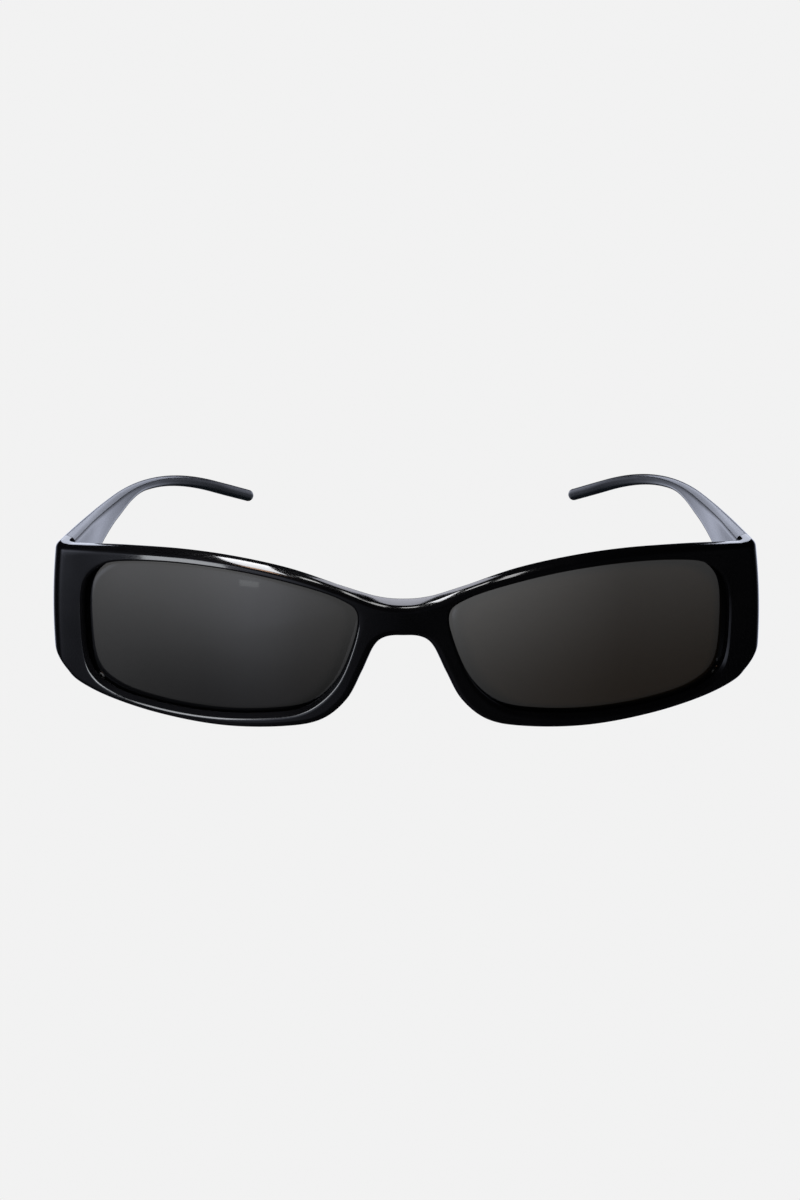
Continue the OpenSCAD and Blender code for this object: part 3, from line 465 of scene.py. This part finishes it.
opening = np.vstack([ring_part(0, 7, TOP_N, OPEN_TOP_PACE), ring_part(7, 2, SIDE_N),
                     ring_part(9, 8, LOW_N + NOSE_N, OPEN_LOW_PACE)])
upper = upper_shares * [REACH, BROW - BRIDGE_TOP] + [0, BRIDGE_TOP]
upper = np.vstack([upper, [corner_start(END_TOP), END_TOP]])
upper = through(upper, upper[1] * flip, 2 * upper[-1] - upper[-2], TOP_N)
lower = lower_shares * [REACH, CHIN - BRIDGE_LOW] + [0, BRIDGE_LOW]
lower = np.vstack([[corner_start(-END_LOW), -END_LOW], lower])
way_in = lower[1] + 2 * np.linalg.norm(lower[1] - lower[0]) * np.array([1, CORNER_SLOPE]) / STRETCH
lower = through(lower, way_in, lower[-2] * flip, LOW_N, LOWER_PACE)


def left_of(steps):
    """Unit normals to the left of steps: each turned by a quarter."""
    return unit(np.stack([-steps[:, 1], steps[:, 0]], -1))


def run_normals(run):
    """Normals of an open run, each from its two neighbours."""
    held = np.vstack([run[:1], run, run[-1:]])
    return left_of(held[2:] - held[:-2])


opening_normals = left_of(np.roll(opening, -1, 0) - np.roll(opening, 1, 0))
print("opening spans", np.ptp(opening, axis=0).round(2), "mm")

# %% [markdown]
# ## Rounded edges
# A moulded edge is a quarter of a circle on the face and another on the back. The same two arrays of
# shares serve every edge: how far each step is drawn in from the outline, and how deep it lies. Over the
# lenses the brow is crowned: its rounding runs further back, for the broad line of light there.

# %% The steps of a rounded edge
ROUND = 8
quarter = np.linspace(0, math.pi / 2, ROUND + 1)
quarter = np.concatenate([quarter, quarter[::-1]])
draw_in, deep_in = 1 - np.sin(quarter), 1 - np.cos(quarter)
on_face = np.arange(2 * ROUND + 2) <= ROUND


def edge_depth(depth):
    """Depth of each step: the rounding's own on the face, and counted from the back on the back."""
    deep = deep_in * EDGE_R
    return np.where(on_face, deep, depth[..., None] - deep)


def outer_depth(p):
    """The front's depth: more at the bridge, and more again where it rests on the nose."""
    s, z = p[..., 0], p[..., 1]
    rest = (1 - smooth(abs(z - REST_Z) / REST_HALF)) * (1 - smooth((s - REST_IN) / REST_FADE))
    return FRONT_T + BRIDGE_DEEPER * (1 - smooth(s / BRIDGE_FADE)) + REST_DEEPER * rest


def edge_rows(run, normals, sign, crown=0):
    """A rounded edge along a run, as s, z and d. On the corner's line the ends follow that line. A crown
    draws the rounding of the face out towards the back, by its share of the radius."""
    flat = run[:, None] - (EDGE_R * draw_in)[None, :, None] * normals[:, None]
    end, rise = (0, STRETCH) if sign > 0 else (-1, -1)
    height = run[end, 1] + rise * EDGE_R * draw_in
    flat[end] = np.stack([corner_start(height), height], -1)
    depth = edge_depth(outer_depth(run))
    depth = depth + np.where(on_face, depth * np.reshape(crown, (-1, 1)), 0)
    return np.dstack([flat, depth])


upper_normals, lower_normals = run_normals(upper), run_normals(lower)
upper_normals[0], lower_normals[-1] = [0, 1], [0, -1]
brow = smooth((upper[:, 0] - CROWN_IN) / CROWN_RISE) * (1 - smooth((upper[:, 0] - CROWN_OUT) / CROWN_FALL))
upper_rows = edge_rows(upper, upper_normals, -1, CROWN * brow)
lower_rows = edge_rows(lower, lower_normals, 1)


def side_rows():
    """The corner's line between the two rounded edges: all steps of a row lie at one height."""
    z = mix(upper[-1, 1] - EDGE_R, lower[0, 1] + EDGE_R * STRETCH, np.arange(1, SIDE_N) / SIDE_N)[:, None]
    z = np.repeat(z, 2 * ROUND + 2, 1)
    return np.dstack([corner_start(z), z, np.where(on_face, 0, FRONT_T) + 0 * z])


def nose_rows():
    """The middle of the bridge, where the two halves meet."""
    z = mix(BRIDGE_LOW + EDGE_R, BRIDGE_TOP - EDGE_R, np.arange(1, NOSE_N) / NOSE_N)[:, None]
    z = np.repeat(z, 2 * ROUND + 2, 1)
    deep = outer_depth(np.dstack([0 * z, z]))
    return np.dstack([0 * z, z, np.where(on_face, 0, deep)])


outer_rows = np.concatenate([upper_rows, side_rows(), lower_rows, nose_rows()])
print("outer rows", outer_rows.shape)

# %% [markdown]
# ## The front
# The front is one moulding: both rims, the bridge with its nose rests, and the endpieces that turn back
# to the temples. Box modelling could make it, but its likeness lies in the three drawn lines, so the
# surface is a grid: a profile of the rim carried round the opening, with the return carried on from its
# side. Under the lens the bevel is wide, and a rounded ridge between it and the face catches the light.

# %% The rim's profile round one opening
LENS_DEPTH, LENS_T, GROOVE, GROOVE_W = 1.2, 1.8, 0.6, 1.66
GROOVE_MID = LENS_DEPTH + LENS_T / 2
downward = np.clip(-opening_normals[:, 1:], 0, 1)
face_bevel, ridge = mix(BEVEL, LOW_BEVEL, downward), mix(RIDGE, LOW_RIDGE, downward)
bend_steps = np.linspace(0, math.pi / 2, 6)
ridge_steps = np.linspace(math.pi / 4, 0, 6)
GROOVE_SIDES = np.array([1, 0, -1])
RIDGE_TURN = math.tan(math.pi / 8)
BRIDGING = 7
back_in = np.concatenate([BEVEL * (1 - np.sin(bend_steps)), [0, GROOVE, 0]])
back_deep = np.concatenate([FRONT_T - BEVEL * (1 - np.cos(bend_steps)),
                            GROOVE_MID + GROOVE_W / 2 * GROOVE_SIDES])
wall_in = np.hstack([np.tile(back_in, (STATIONS, 1)), 0 * face_bevel,
                     face_bevel + ridge * (RIDGE_TURN - np.sin(ridge_steps))])
wall_deep = np.hstack([np.tile(back_deep, (STATIONS, 1)), face_bevel,
                       ridge * (1 - np.cos(ridge_steps))])
wall_rows = np.dstack([opening[:, None] + wall_in[..., None] * opening_normals[:, None], wall_deep])


def between(a, b, count):
    """Places on the straight way from rows a to rows b, both ends left out."""
    share = (np.arange(1, count + 1) / (count + 1))[None, :, None]
    return mix(a[:, None], b[:, None], share)


rim_rows = np.concatenate([
    outer_rows, between(outer_rows[:, -1], wall_rows[:, 0], BRIDGING), wall_rows,
    between(wall_rows[:, -1], outer_rows[:, 0], BRIDGING)], 1)
RIM = rim_rows.shape[1]
rim_points = wrapped(*np.moveaxis(rim_rows, -1, 0)).reshape(-1, 3)
print("rim grid", rim_rows.shape)


# %% [markdown]
# The return is a sheet that goes on from the corner's line to the seam. Its section is a closed loop of
# spots, and the loop is carried along the return in columns. Its top stays level, and its low edge leaves
# the rim with the rim's own slope and ends level at the seam. The seam is slanted, so that the temple's end
# closes against it: each spot lies further forward the deeper it is.

# %% The return from the corner to the seam
def loop_spots(n):
    """Spots round a sheet's section: down the face in n steps, round the low edge, up the back and over the
    top. Gives the step down the face and the step round the edge."""
    full = np.arange(1, 2 * ROUND + 1)
    steps = np.arange(n + 1)
    down = np.concatenate([steps, np.full(2 * ROUND, n), steps[::-1], np.zeros(2 * ROUND, int)])
    edge = np.concatenate([0 * steps, full, 0 * steps + 2 * ROUND + 1, full[::-1]])
    return down, edge


def loop_places(n, top, low, t, r, stretch):
    """Height and depth of every spot on sections given by arrays of top, low, thickness and rounding."""
    down, edge = loop_spots(n)
    top, low, t, r, stretch = (np.asarray(v, float)[..., None] for v in (top, low, t, r, stretch))
    inset = draw_in[edge] * r
    z = np.where(down == 0, top - inset,
                 np.where(down == n, low + inset * stretch, mix(top - r, low + r * stretch, down / n)))
    deep = deep_in[edge] * r
    return z, np.where(edge <= ROUND, deep, t - deep)


def rings_to_quads(rings):
    """Faces between neighbouring rings of point numbers, each ring closed on itself."""
    a, b = rings[:-1], rings[1:]
    return np.stack([a, b, np.roll(b, -1, 1), np.roll(a, -1, 1)], -1).reshape(-1, 4)


def end_faces(ring_numbers, first):
    """Closes a ring by strips between each spot and its partner across the sheet."""
    m = len(ring_numbers)
    k = np.arange(first, first + m // 2 - 1)
    other = m - 1 + 2 * first - k
    return ring_numbers[np.stack([k, k + 1, other - 1, other], -1) % m]


COLUMNS = 26
way = np.arange(1, COLUMNS + 1) / COLUMNS
bottom = lower[0, 1]
low_run = CORNER_SLOPE * side_run(bottom)
return_low = mix(bottom, -SEAM_LOW, smooth(way)) + low_run * way * (1 - way) ** 2
low_rise = (1 - way) * (6 * way * (-SEAM_LOW - bottom) + low_run * (1 - 3 * way)) / side_run(bottom)
return_z, return_d = loop_places(SIDE_N, mix(upper[-1, 1], END_TOP, way), return_low,
                                 np.full(COLUMNS, FRONT_T), np.full(COLUMNS, EDGE_R),
                                 np.sqrt(1 + low_rise ** 2))
return_s = corner_start(return_z) + way[:, None] * (side_run(return_z) - MITRE * return_d)
return_points = wrapped(return_s, return_z, return_d).reshape(-1, 3)

down, edge = loop_spots(SIDE_N)
first_ring = (SIDE_AT + down) * RIM + edge
LOOP = len(down)
return_rings = np.vstack([first_ring, STATIONS * RIM + np.arange(COLUMNS * LOOP).reshape(COLUMNS, LOOP)])
print("return rings", return_rings.shape)

# %% [markdown]
# The rim's grid stays open where the return joins it and where the two halves meet. The second half is the
# mirror image of the first, and the two share the points on the middle, so the whole front is one closed
# surface. Faces that are given as arrays of point numbers make such joins simple: only numbers change.

# %% Faces of one half, its mirror image, and the finished front
station, place = np.meshgrid(np.arange(STATIONS), np.arange(RIM), indexing="ij")
at_side = (station >= SIDE_AT) & (station < LOW_AT)
open_side = (place < 2 * ROUND + 1) & (at_side | (station >= NOSE_AT))
station, place = station[~open_side], place[~open_side]
next_station, next_place = (station + 1) % STATIONS, (place + 1) % RIM
rim_quads = np.stack([station * RIM + place, next_station * RIM + place,
                      next_station * RIM + next_place, station * RIM + next_place], -1)
half_quads = np.vstack([rim_quads, rings_to_quads(return_rings)[:, ::-1],
                        end_faces(return_rings[-1], -ROUND)])
half_points = np.vstack([rim_points, return_points])
HALF = len(half_points)
numbers = np.arange(STATIONS * RIM)
on_middle = ((numbers // RIM == 0) | (numbers // RIM >= NOSE_AT)) & (numbers % RIM < 2 * ROUND + 2)
mirror_of = HALF + np.arange(HALF)
mirror_of[:STATIONS * RIM][on_middle] = numbers[on_middle]
front_points = np.vstack([half_points, half_points * [-1, 1, 1]])
front_quads = np.vstack([half_quads, mirror_of[half_quads][:, ::-1]])
make_piece("front", front_points, front_quads, front_black, "front", ["front_frame"])

# %% [markdown]
# ## The lenses
# Each lens is a thin curved plate with a bevelled edge that sits in the rim's groove. Rings with the shape
# of the opening shrink towards the middle, while the plate bulges forwards a little, as a ground lens does.
# Each ring's share of the way to the edge goes along, for the finish.

# %% Two lenses
LENS_GAP, LENS_BULGE, LENS_RINGS = 0.05, 0.5, 14
groove_slope = GROOVE_W / 2 / GROOVE
tip_in = GROOVE - LENS_GAP * math.sqrt(1 + groove_slope ** 2) / groove_slope
edge_in = LENS_T / 2 / groove_slope - tip_in
lens_middle = np.array([BRIDGE_W / 2 + OPEN_W / 2, (OPEN_TOP + OPEN_LOW) / 2])
shares = np.linspace(0, 1, LENS_RINGS + 1)[1:]


def lens_face(share, depth):
    """Rings at shares of the way from the middle to the edge, deeper by the bulge towards the edge."""
    share = np.asarray(share, float)[:, None]
    edge_line = opening - edge_in * opening_normals
    q = mix(lens_middle, edge_line[None], share[..., None])
    return wrapped(q[..., 0], q[..., 1], depth - LENS_BULGE * (1 - share ** 2))


tip = opening + tip_in * opening_normals
lens_rings = np.concatenate([lens_face(shares, LENS_DEPTH),
                             wrapped(tip[:, 0], tip[:, 1], GROOVE_MID)[None],
                             lens_face(shares[::-1], LENS_DEPTH + LENS_T)])
lens_centres = np.concatenate([lens_face([0], LENS_DEPTH)[0, :1],
                               lens_face([0], LENS_DEPTH + LENS_T)[0, :1]])
lens_points = np.vstack([lens_rings.reshape(-1, 3), lens_centres])
lens_edge = np.concatenate([np.repeat(np.concatenate([shares, [1], shares[::-1]]), STATIONS), [0, 0]])
ring_numbers = np.arange(lens_rings.shape[0] * STATIONS).reshape(-1, STATIONS)
hub = np.full(STATIONS, ring_numbers.size)
lens_quads = rings_to_quads(np.vstack([hub, ring_numbers, hub + 1]))
for side, sign in (("right", 1), ("left", -1)):
    make_piece(side + "-lens", lens_points * [sign, 1, 1], lens_quads, lens_smoke, "front",
               [side + "_lens"], 60, lens_edge)

# %% [markdown]
# ## The temples
# A temple starts as tall as the endpiece, sweeps up into a slim arm, bends down behind the ear and ends in
# a slightly thicker round tip. Its section is carried along the arm: upright and flat-sided at the hinge,
# square to the arm's own line behind, and round at the tip. Places along it are counted in millimetres from
# the seam, so a START or END is such a place.

# %% Lines of a temple
EAR_START, EAR_END, EAR_R, TEMPLE_LEN, TIP_LEN, TIP_R = 30.0, 81.0, 123.0, 99.0, 15.0, 1.5
INWARD, INWARD_START, INWARD_END, SHOULDER_DROP, SHOULDER_LEN = 0.0035, 5.0, 82.0, 0.25, 18.0
ARM_T, ARM_T_END, THIN_POWER, TIP_GROWTH, GROW_START, ARM_TALLER = 2.3, 45.0, 1.6, 0.5, 50.0, 0.1
SWEEP_LEN, SWEEP_POWER, SWEEP_FADE_START, SWEEP_FADE_LEN = 8.7, 1.67, 28.0, 18.0
CORNER_FADE_LEN, LEVEL, MITRE_FADE_LEN = 25.0, 10.0, 8.0
SQUARE_START, SQUARE_LEN, ROUND_START, ROUND_LEN = 46.0, 20.0, 79.0, 9.0
MITRE_SHIFT = math.sin(TOE_IN) + MITRE * math.cos(TOE_IN)


def ear_slope(l):
    """Fall of the arm per millimetre: none, then growing evenly through the bend, then constant."""
    return np.clip(np.minimum(l, EAR_END) - EAR_START, 0, None) / EAR_R


def temple_top(l):
    """Top line: the shoulder's small drop, and the fall that the ear bend adds up to."""
    slope = ear_slope(l)
    fall = EAR_R * slope ** 2 / 2 + slope * np.clip(l - EAR_END, 0, None)
    return END_TOP - SHOULDER_DROP * smooth(l / SHOULDER_LEN) - fall


def temple_t(l):
    """Thickness: from the front's own down to the arm's, fast at first, then slowly up to the tip's."""
    grown = smooth((l - GROW_START) / (TEMPLE_LEN - TIP_LEN - GROW_START))
    return mix(ARM_T, FRONT_T, (1 - np.clip(l / ARM_T_END, 0, 1)) ** THIN_POWER) + TIP_GROWTH * grown


def arm_h(l):
    """Upright height of the arm: its thickness and a little more, measured across its slope."""
    return (temple_t(l) + ARM_TALLER) * np.sqrt(1 + ear_slope(l) ** 2)


def temple_low(l):
    """Lower line: the arm's height below the top, and the sweep from the tall end: its height over 1 plus a
    power of the place, faded out further along."""
    tall = END_TOP + SEAM_LOW - arm_h(0.0)
    sweep = tall / (1 + (l / SWEEP_LEN) ** SWEEP_POWER)
    return temple_top(l) - arm_h(l) - sweep * (1 - smooth((l - SWEEP_FADE_START) / SWEEP_FADE_LEN))


def plan_slope(l):
    """How fast the arm runs inwards: the toe-in, and a curve that grows from its start to its end."""
    return math.tan(TOE_IN) + INWARD * np.clip(np.minimum(l, INWARD_END) - INWARD_START, 0, None)


def plan_in(l):
    """How far it has run inwards: the sum of that slope."""
    run = np.clip(np.minimum(l, INWARD_END) - INWARD_START, 0, None)
    return math.tan(TOE_IN) * l + INWARD * run * (run / 2 + np.clip(l - INWARD_END, 0, None))


def temple_point(l, z, d):
    """A place l behind the seam, at height z and d inwards. The seam's slope and the corner's bow fade."""
    height = mix(z, LEVEL, smooth(l / CORNER_FADE_LEN))
    start = wrapped(corner_start(height) + side_run(height), height, 0)
    b = l - MITRE_SHIFT * d * (1 - smooth(l / MITRE_FADE_LEN))
    return np.stack([start[..., 0] - plan_in(b) - d * np.sqrt(1 + plan_slope(b) ** 2),
                     start[..., 1] + b, z + 0 * b], -1)


print("arm height at the hinge and behind it", (temple_top(0) - temple_low(0)).round(2), arm_h(60).round(2))

# %% [markdown]
# A bevelled curve would give the arm one section all the way, but it changes from a flat board to a round
# rod. So each section is worked out twice, upright for the hinge's end and square to the arm for the rest,
# and one is blended into the other along the way. Shrinking rings close the tip.

# %% Sections of a temple, and its rounded tip
FLAT, SLIVER, STEP = 10, 0.05, 0.1
BLUNT, TIP_END, TIP_BULGE = 0.9, 0.05, 1.0
along = np.concatenate([np.linspace(SEAM_GAP, 12, 48), np.linspace(12.4, 30, 44), np.linspace(30.6, 82, 84),
                        np.linspace(82.3, 88, 20), np.linspace(89, TEMPLE_LEN - 1, 9)])
thick = temple_t(along)
rounding = np.minimum(EDGE_R, thick / 2 - SLIVER)
low_slope = (temple_low(along + STEP) - temple_low(along)) / STEP
arm_z, arm_d = loop_places(FLAT, temple_top(along), temple_low(along), thick, rounding,
                           np.sqrt(1 + low_slope ** 2))
upright = temple_point(along[:, None], arm_z, arm_d)

centre_z = temple_top(along) - arm_h(along) / 2
centre = temple_point(along, centre_z, thick / 2)
forward = unit(np.gradient(centre, along, axis=0))
inward = unit(np.stack([-forward[:, 1], forward[:, 0], 0 * along], -1))
upward = np.cross(forward, inward)
across = (arm_d - thick[:, None] / 2)[..., None] * inward[:, None]
rise = (arm_z - centre_z[:, None]) / np.sqrt(1 + ear_slope(along) ** 2)[:, None]
offset = across + rise[..., None] * upward[:, None]
offset = mix(offset, unit(offset) * TIP_R, smooth((along - ROUND_START) / ROUND_LEN)[:, None, None])
arm = mix(upright, centre[:, None] + offset, smooth((along - SQUARE_START) / SQUARE_LEN)[:, None, None])

bow = np.linspace(0, math.pi / 2, 10)[1:]
shrink = np.concatenate([1 - (1 - np.cos(bow)) * BLUNT, [TIP_END]])
reach_on = TIP_BULGE * np.concatenate([np.sin(bow), [1]])
round_way = unit(offset[-1]) * TIP_R
tip_rings = centre[-1] + shrink[:, None, None] * round_way[None] + reach_on[:, None, None] * forward[-1]
rings = np.concatenate([arm, tip_rings])
temple_points = rings.reshape(-1, 3)
numbers = np.arange(len(temple_points)).reshape(len(rings), -1)
temple_quads = np.vstack([rings_to_quads(numbers)[:, ::-1], end_faces(numbers[0], -ROUND)[:, ::-1],
                          end_faces(numbers[-1], -ROUND)])
for side, sign in (("right", 1), ("left", -1)):
    make_piece(side + "-temple", temple_points * [sign, 1, 1], temple_quads, temple_black, side + "_arm",
               [side + "_temple"], 40)

# %% [markdown]
# ## Metal parts
# The leaves, screws, wires and trims of the model already have the right shape, so they only get their
# metal, on both sides.

# %% Dress the metal nodes
metals = {"front_leaf": satin_leaf, "temple_leaf": satin_leaf, "hinge_screw": bright_screw,
          "front_leaf_screws": bright_screw, "temple_leaf_screws": bright_screw,
          "core_wire": drawn_wire, "temple_trim": gunmetal}
for name, material in metals.items():
    for side in ("left", "right"):
        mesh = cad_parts[side + "_" + name].data
        mesh.materials.clear()
        mesh.materials.append(material)
print("dressed", 2 * len(metals), "metal nodes")

# %% [markdown]
# ## Studio
# The picture was taken on a white ground with no visible shadow, so the floor and the backdrop glow
# evenly. They are paper sheets that the gloss doesn't mirror.

# %% Floor and backdrop
ROOM, PAPER_GLOW = 4.0, 0.887
bpy.context.scene.view_settings.view_transform = "Standard"
bpy.context.scene.view_settings.look = "None"

white_paper = bpy.data.materials.new("white ground")
paper = Finish(white_paper)
glow = paper.node("ShaderNodeEmission", {}, {"Color": (1, 1, 1, 1), "Strength": PAPER_GLOW})
paper.node("ShaderNodeOutputMaterial", {}, {"Surface": glow})
corners = [(x * ROOM, y * ROOM, z * ROOM) for z in (0, 1) for x, y in ((-1, -1), (1, -1), (1, 1), (-1, 1))]
walls = [(k, k + 4, (k + 1) % 4 + 4, (k + 1) % 4) for k in range(4)]


def paper_sheet(name, faces):
    """White paper that throws no shadow and that no gloss mirrors: the glasses mirror the sky alone."""
    mesh = bpy.data.meshes.new(name)
    mesh.from_pydata(corners, [], faces)
    mesh.materials.append(white_paper)
    sheet = bpy.data.objects.new(name, mesh)
    bpy.context.collection.objects.link(sheet)
    sheet.visible_glossy = sheet.visible_shadow = False
    return sheet


paper_sheet("floor", [(0, 1, 2, 3)])
backdrop = paper_sheet("backdrop", walls)
backdrop.visible_diffuse = False
print("paper sheets", 2 * ROOM, "m wide")

# %% [markdown]
# ## Sky
# Black plastic shows little of its own colour: nearly all of its look is what it mirrors. So the sky is
# dark but for a soft window at the front left, which lifts the left endpiece, the chin and the lenses, and
# a glow low at the back, which draws the inner faces of the temples. Both are written as products of
# ramps: one over the sideways part of a direction, the others over its depth and its height.

# %% Window and low glow
DARK, SKY_TINT = 0.003, (0.77, 0.82)
sky = Finish(bpy.context.scene.world or bpy.data.worlds.new("sky"))
bpy.context.scene.world = sky.owner
direction = sky.node("ShaderNodeTexCoord", out="Generated")
split = sky.node("ShaderNodeSeparateXYZ", {}, {"Vector": direction})
x_way, y_way, z_way = (Signal(sky, split.socket.node.outputs[k]) for k in range(3))
sideways = x_way.math("ABSOLUTE", x_way)


def greys(value, *stops):
    """A number that follows stops of (place, height): the ramp holds half of each, to fit its range."""
    return 2 * sky.ramp(value, *[(place, (height / 2,) * 3) for place, height in stops])


low_back = greys(sideways, (0.12, 0.04), (0.25, 1.0), (0.37, 1.8), (0.46, 1.3), (0.52, 0.95),
                 (0.66, 0.42), (0.85, 0.1))
low_back = low_back * sky.spread(y_way, 0.4, 0.75)
low_back = low_back * (1 - sky.spread(z_way, -0.12, 0.04)) * sky.spread(z_way, -0.72, -0.5)
window = greys(0.5 + 0.5 * x_way, (0.02, 1.1), (0.04, 0.8), (0.06, 0.35), (0.085, 0.45), (0.13, 0.38),
               (0.2, 0.55), (0.26, 0.85), (0.3, 0.75), (0.35, 0.35), (0.43, 0.1), (0.5, 0.01))
window = window * (1 - sky.spread(y_way, -0.25, 0.0))
window = window * greys(0.5 + 0.5 * z_way, (0.27, 0.08), (0.35, 0.32), (0.4, 0.9), (0.45, 1.2),
                        (0.55, 1.1), (0.65, 0.3), (0.75, 0.1))
light = DARK + low_back + window
colour = sky.node("ShaderNodeCombineColor", {}, {0: light * SKY_TINT[0], 1: light * SKY_TINT[1], 2: light})
shine = sky.node("ShaderNodeBackground", {}, {"Color": colour, "Strength": 1.0})
sky.node("ShaderNodeOutputWorld", {}, {"Surface": shine})
print("sky nodes", len(sky.tree.nodes))

# %% [markdown]
# ## Lamps
# Cards held close to the glasses then paint the lines of light: three over the brow, one of them warm, one
# each for the bridge's top and its front edge, one for each corner, and one for the low rim's ridge. A
# panel behind lights the temples, a window at the side the whole front, and a small one leaves a faint bar
# on the left lens. As with flags in a studio, each lights only the pieces that it is meant for. Cards at
# distance 0 stand at the place that is given, the others are moved off it along their direction.

# %% Cards, panel and windows
GLASSES = (0, -0.055, 0.02)


def softbox(name, way, distance, width, height, radiance, colour, target, only):
    """A rectangular lamp in a direction from its target and facing it, in metres. Its power is pi times its
    area times its radiance. It lights only some pieces, as if flags shaded it from the others."""
    lamp = bpy.data.objects.new(name, bpy.data.lights.new(name, "AREA"))
    bpy.context.collection.objects.link(lamp)
    lamp.data.shape = "RECTANGLE"
    lamp.data.size, lamp.data.size_y = width, height
    lamp.data.energy, lamp.data.color = math.pi * width * height * radiance, colour
    way = Vector(way).normalized()
    lamp.location = Vector(target) + distance * way
    lamp.rotation_euler = way.to_track_quat("Z", "Y").to_euler()
    lit = bpy.data.collections.new(name + " lights")
    for piece in only:
        lit.objects.link(bpy.data.objects[piece])
    lamp.light_linking.receiver_collection = lit


temples, face, left_lens = ("left-temple", "right-temple"), ("front",), ("left-lens",)
behind, above, at_left = (0, 1, 0), (0, 0, 1), (-0.62, -0.72, 0.31)
softbox("back panel", (0, 0.95, 0.3), 0.6, 0.9, 0.26, 1.9, (0.78, 0.83, 1), GLASSES, temples)
softbox("bridge card", behind, 0, 0.013, 0.03, 1.7, (0.88, 0.89, 1), (-0.0005, 0.004, 0.046), face)
for side, sign in (("left", -1), ("right", 1)):
    softbox(side + " corner card", behind, 0, 0.0148, 0.026, 2.3, (0.8, 0.85, 1),
            (0.0846 * sign, 0.024, 0.044), face)
softbox("brow card", above, 0, 0.024, 0.078, 15, (0.96, 0.97, 1), (-0.034, -0.034, 0.094), face)
softbox("warm card", above, 0, 0.018, 0.022, 9, (1, 0.62, 0.42), (-0.041, -0.088, 0.094), face)
softbox("right brow card", above, 0, 0.011, 0.02, 9, (1, 1, 1), (-0.006, -0.051, 0.094), face)
softbox("bridge line card", above, 0, 0.009, 0.035, 7, (1, 1, 1), (0.0135, -0.0575, 0.089), face)
softbox("side window", (-0.6, -0.7, 0.3), 0.8, 0.2, 0.1, 5, (0.9, 0.92, 1), GLASSES, face)
softbox("rim card", at_left, 0, 0.036, 0.045, 6, (0.93, 0.96, 1), (-0.086, -0.1015, 0.026), face)
softbox("lens window", (-0.48, -0.87, -0.13), 0.15, 0.014, 0.003, 1.2, (0.95, 1, 1),
        (-0.0295, -0.0565, 0.031), left_lens)
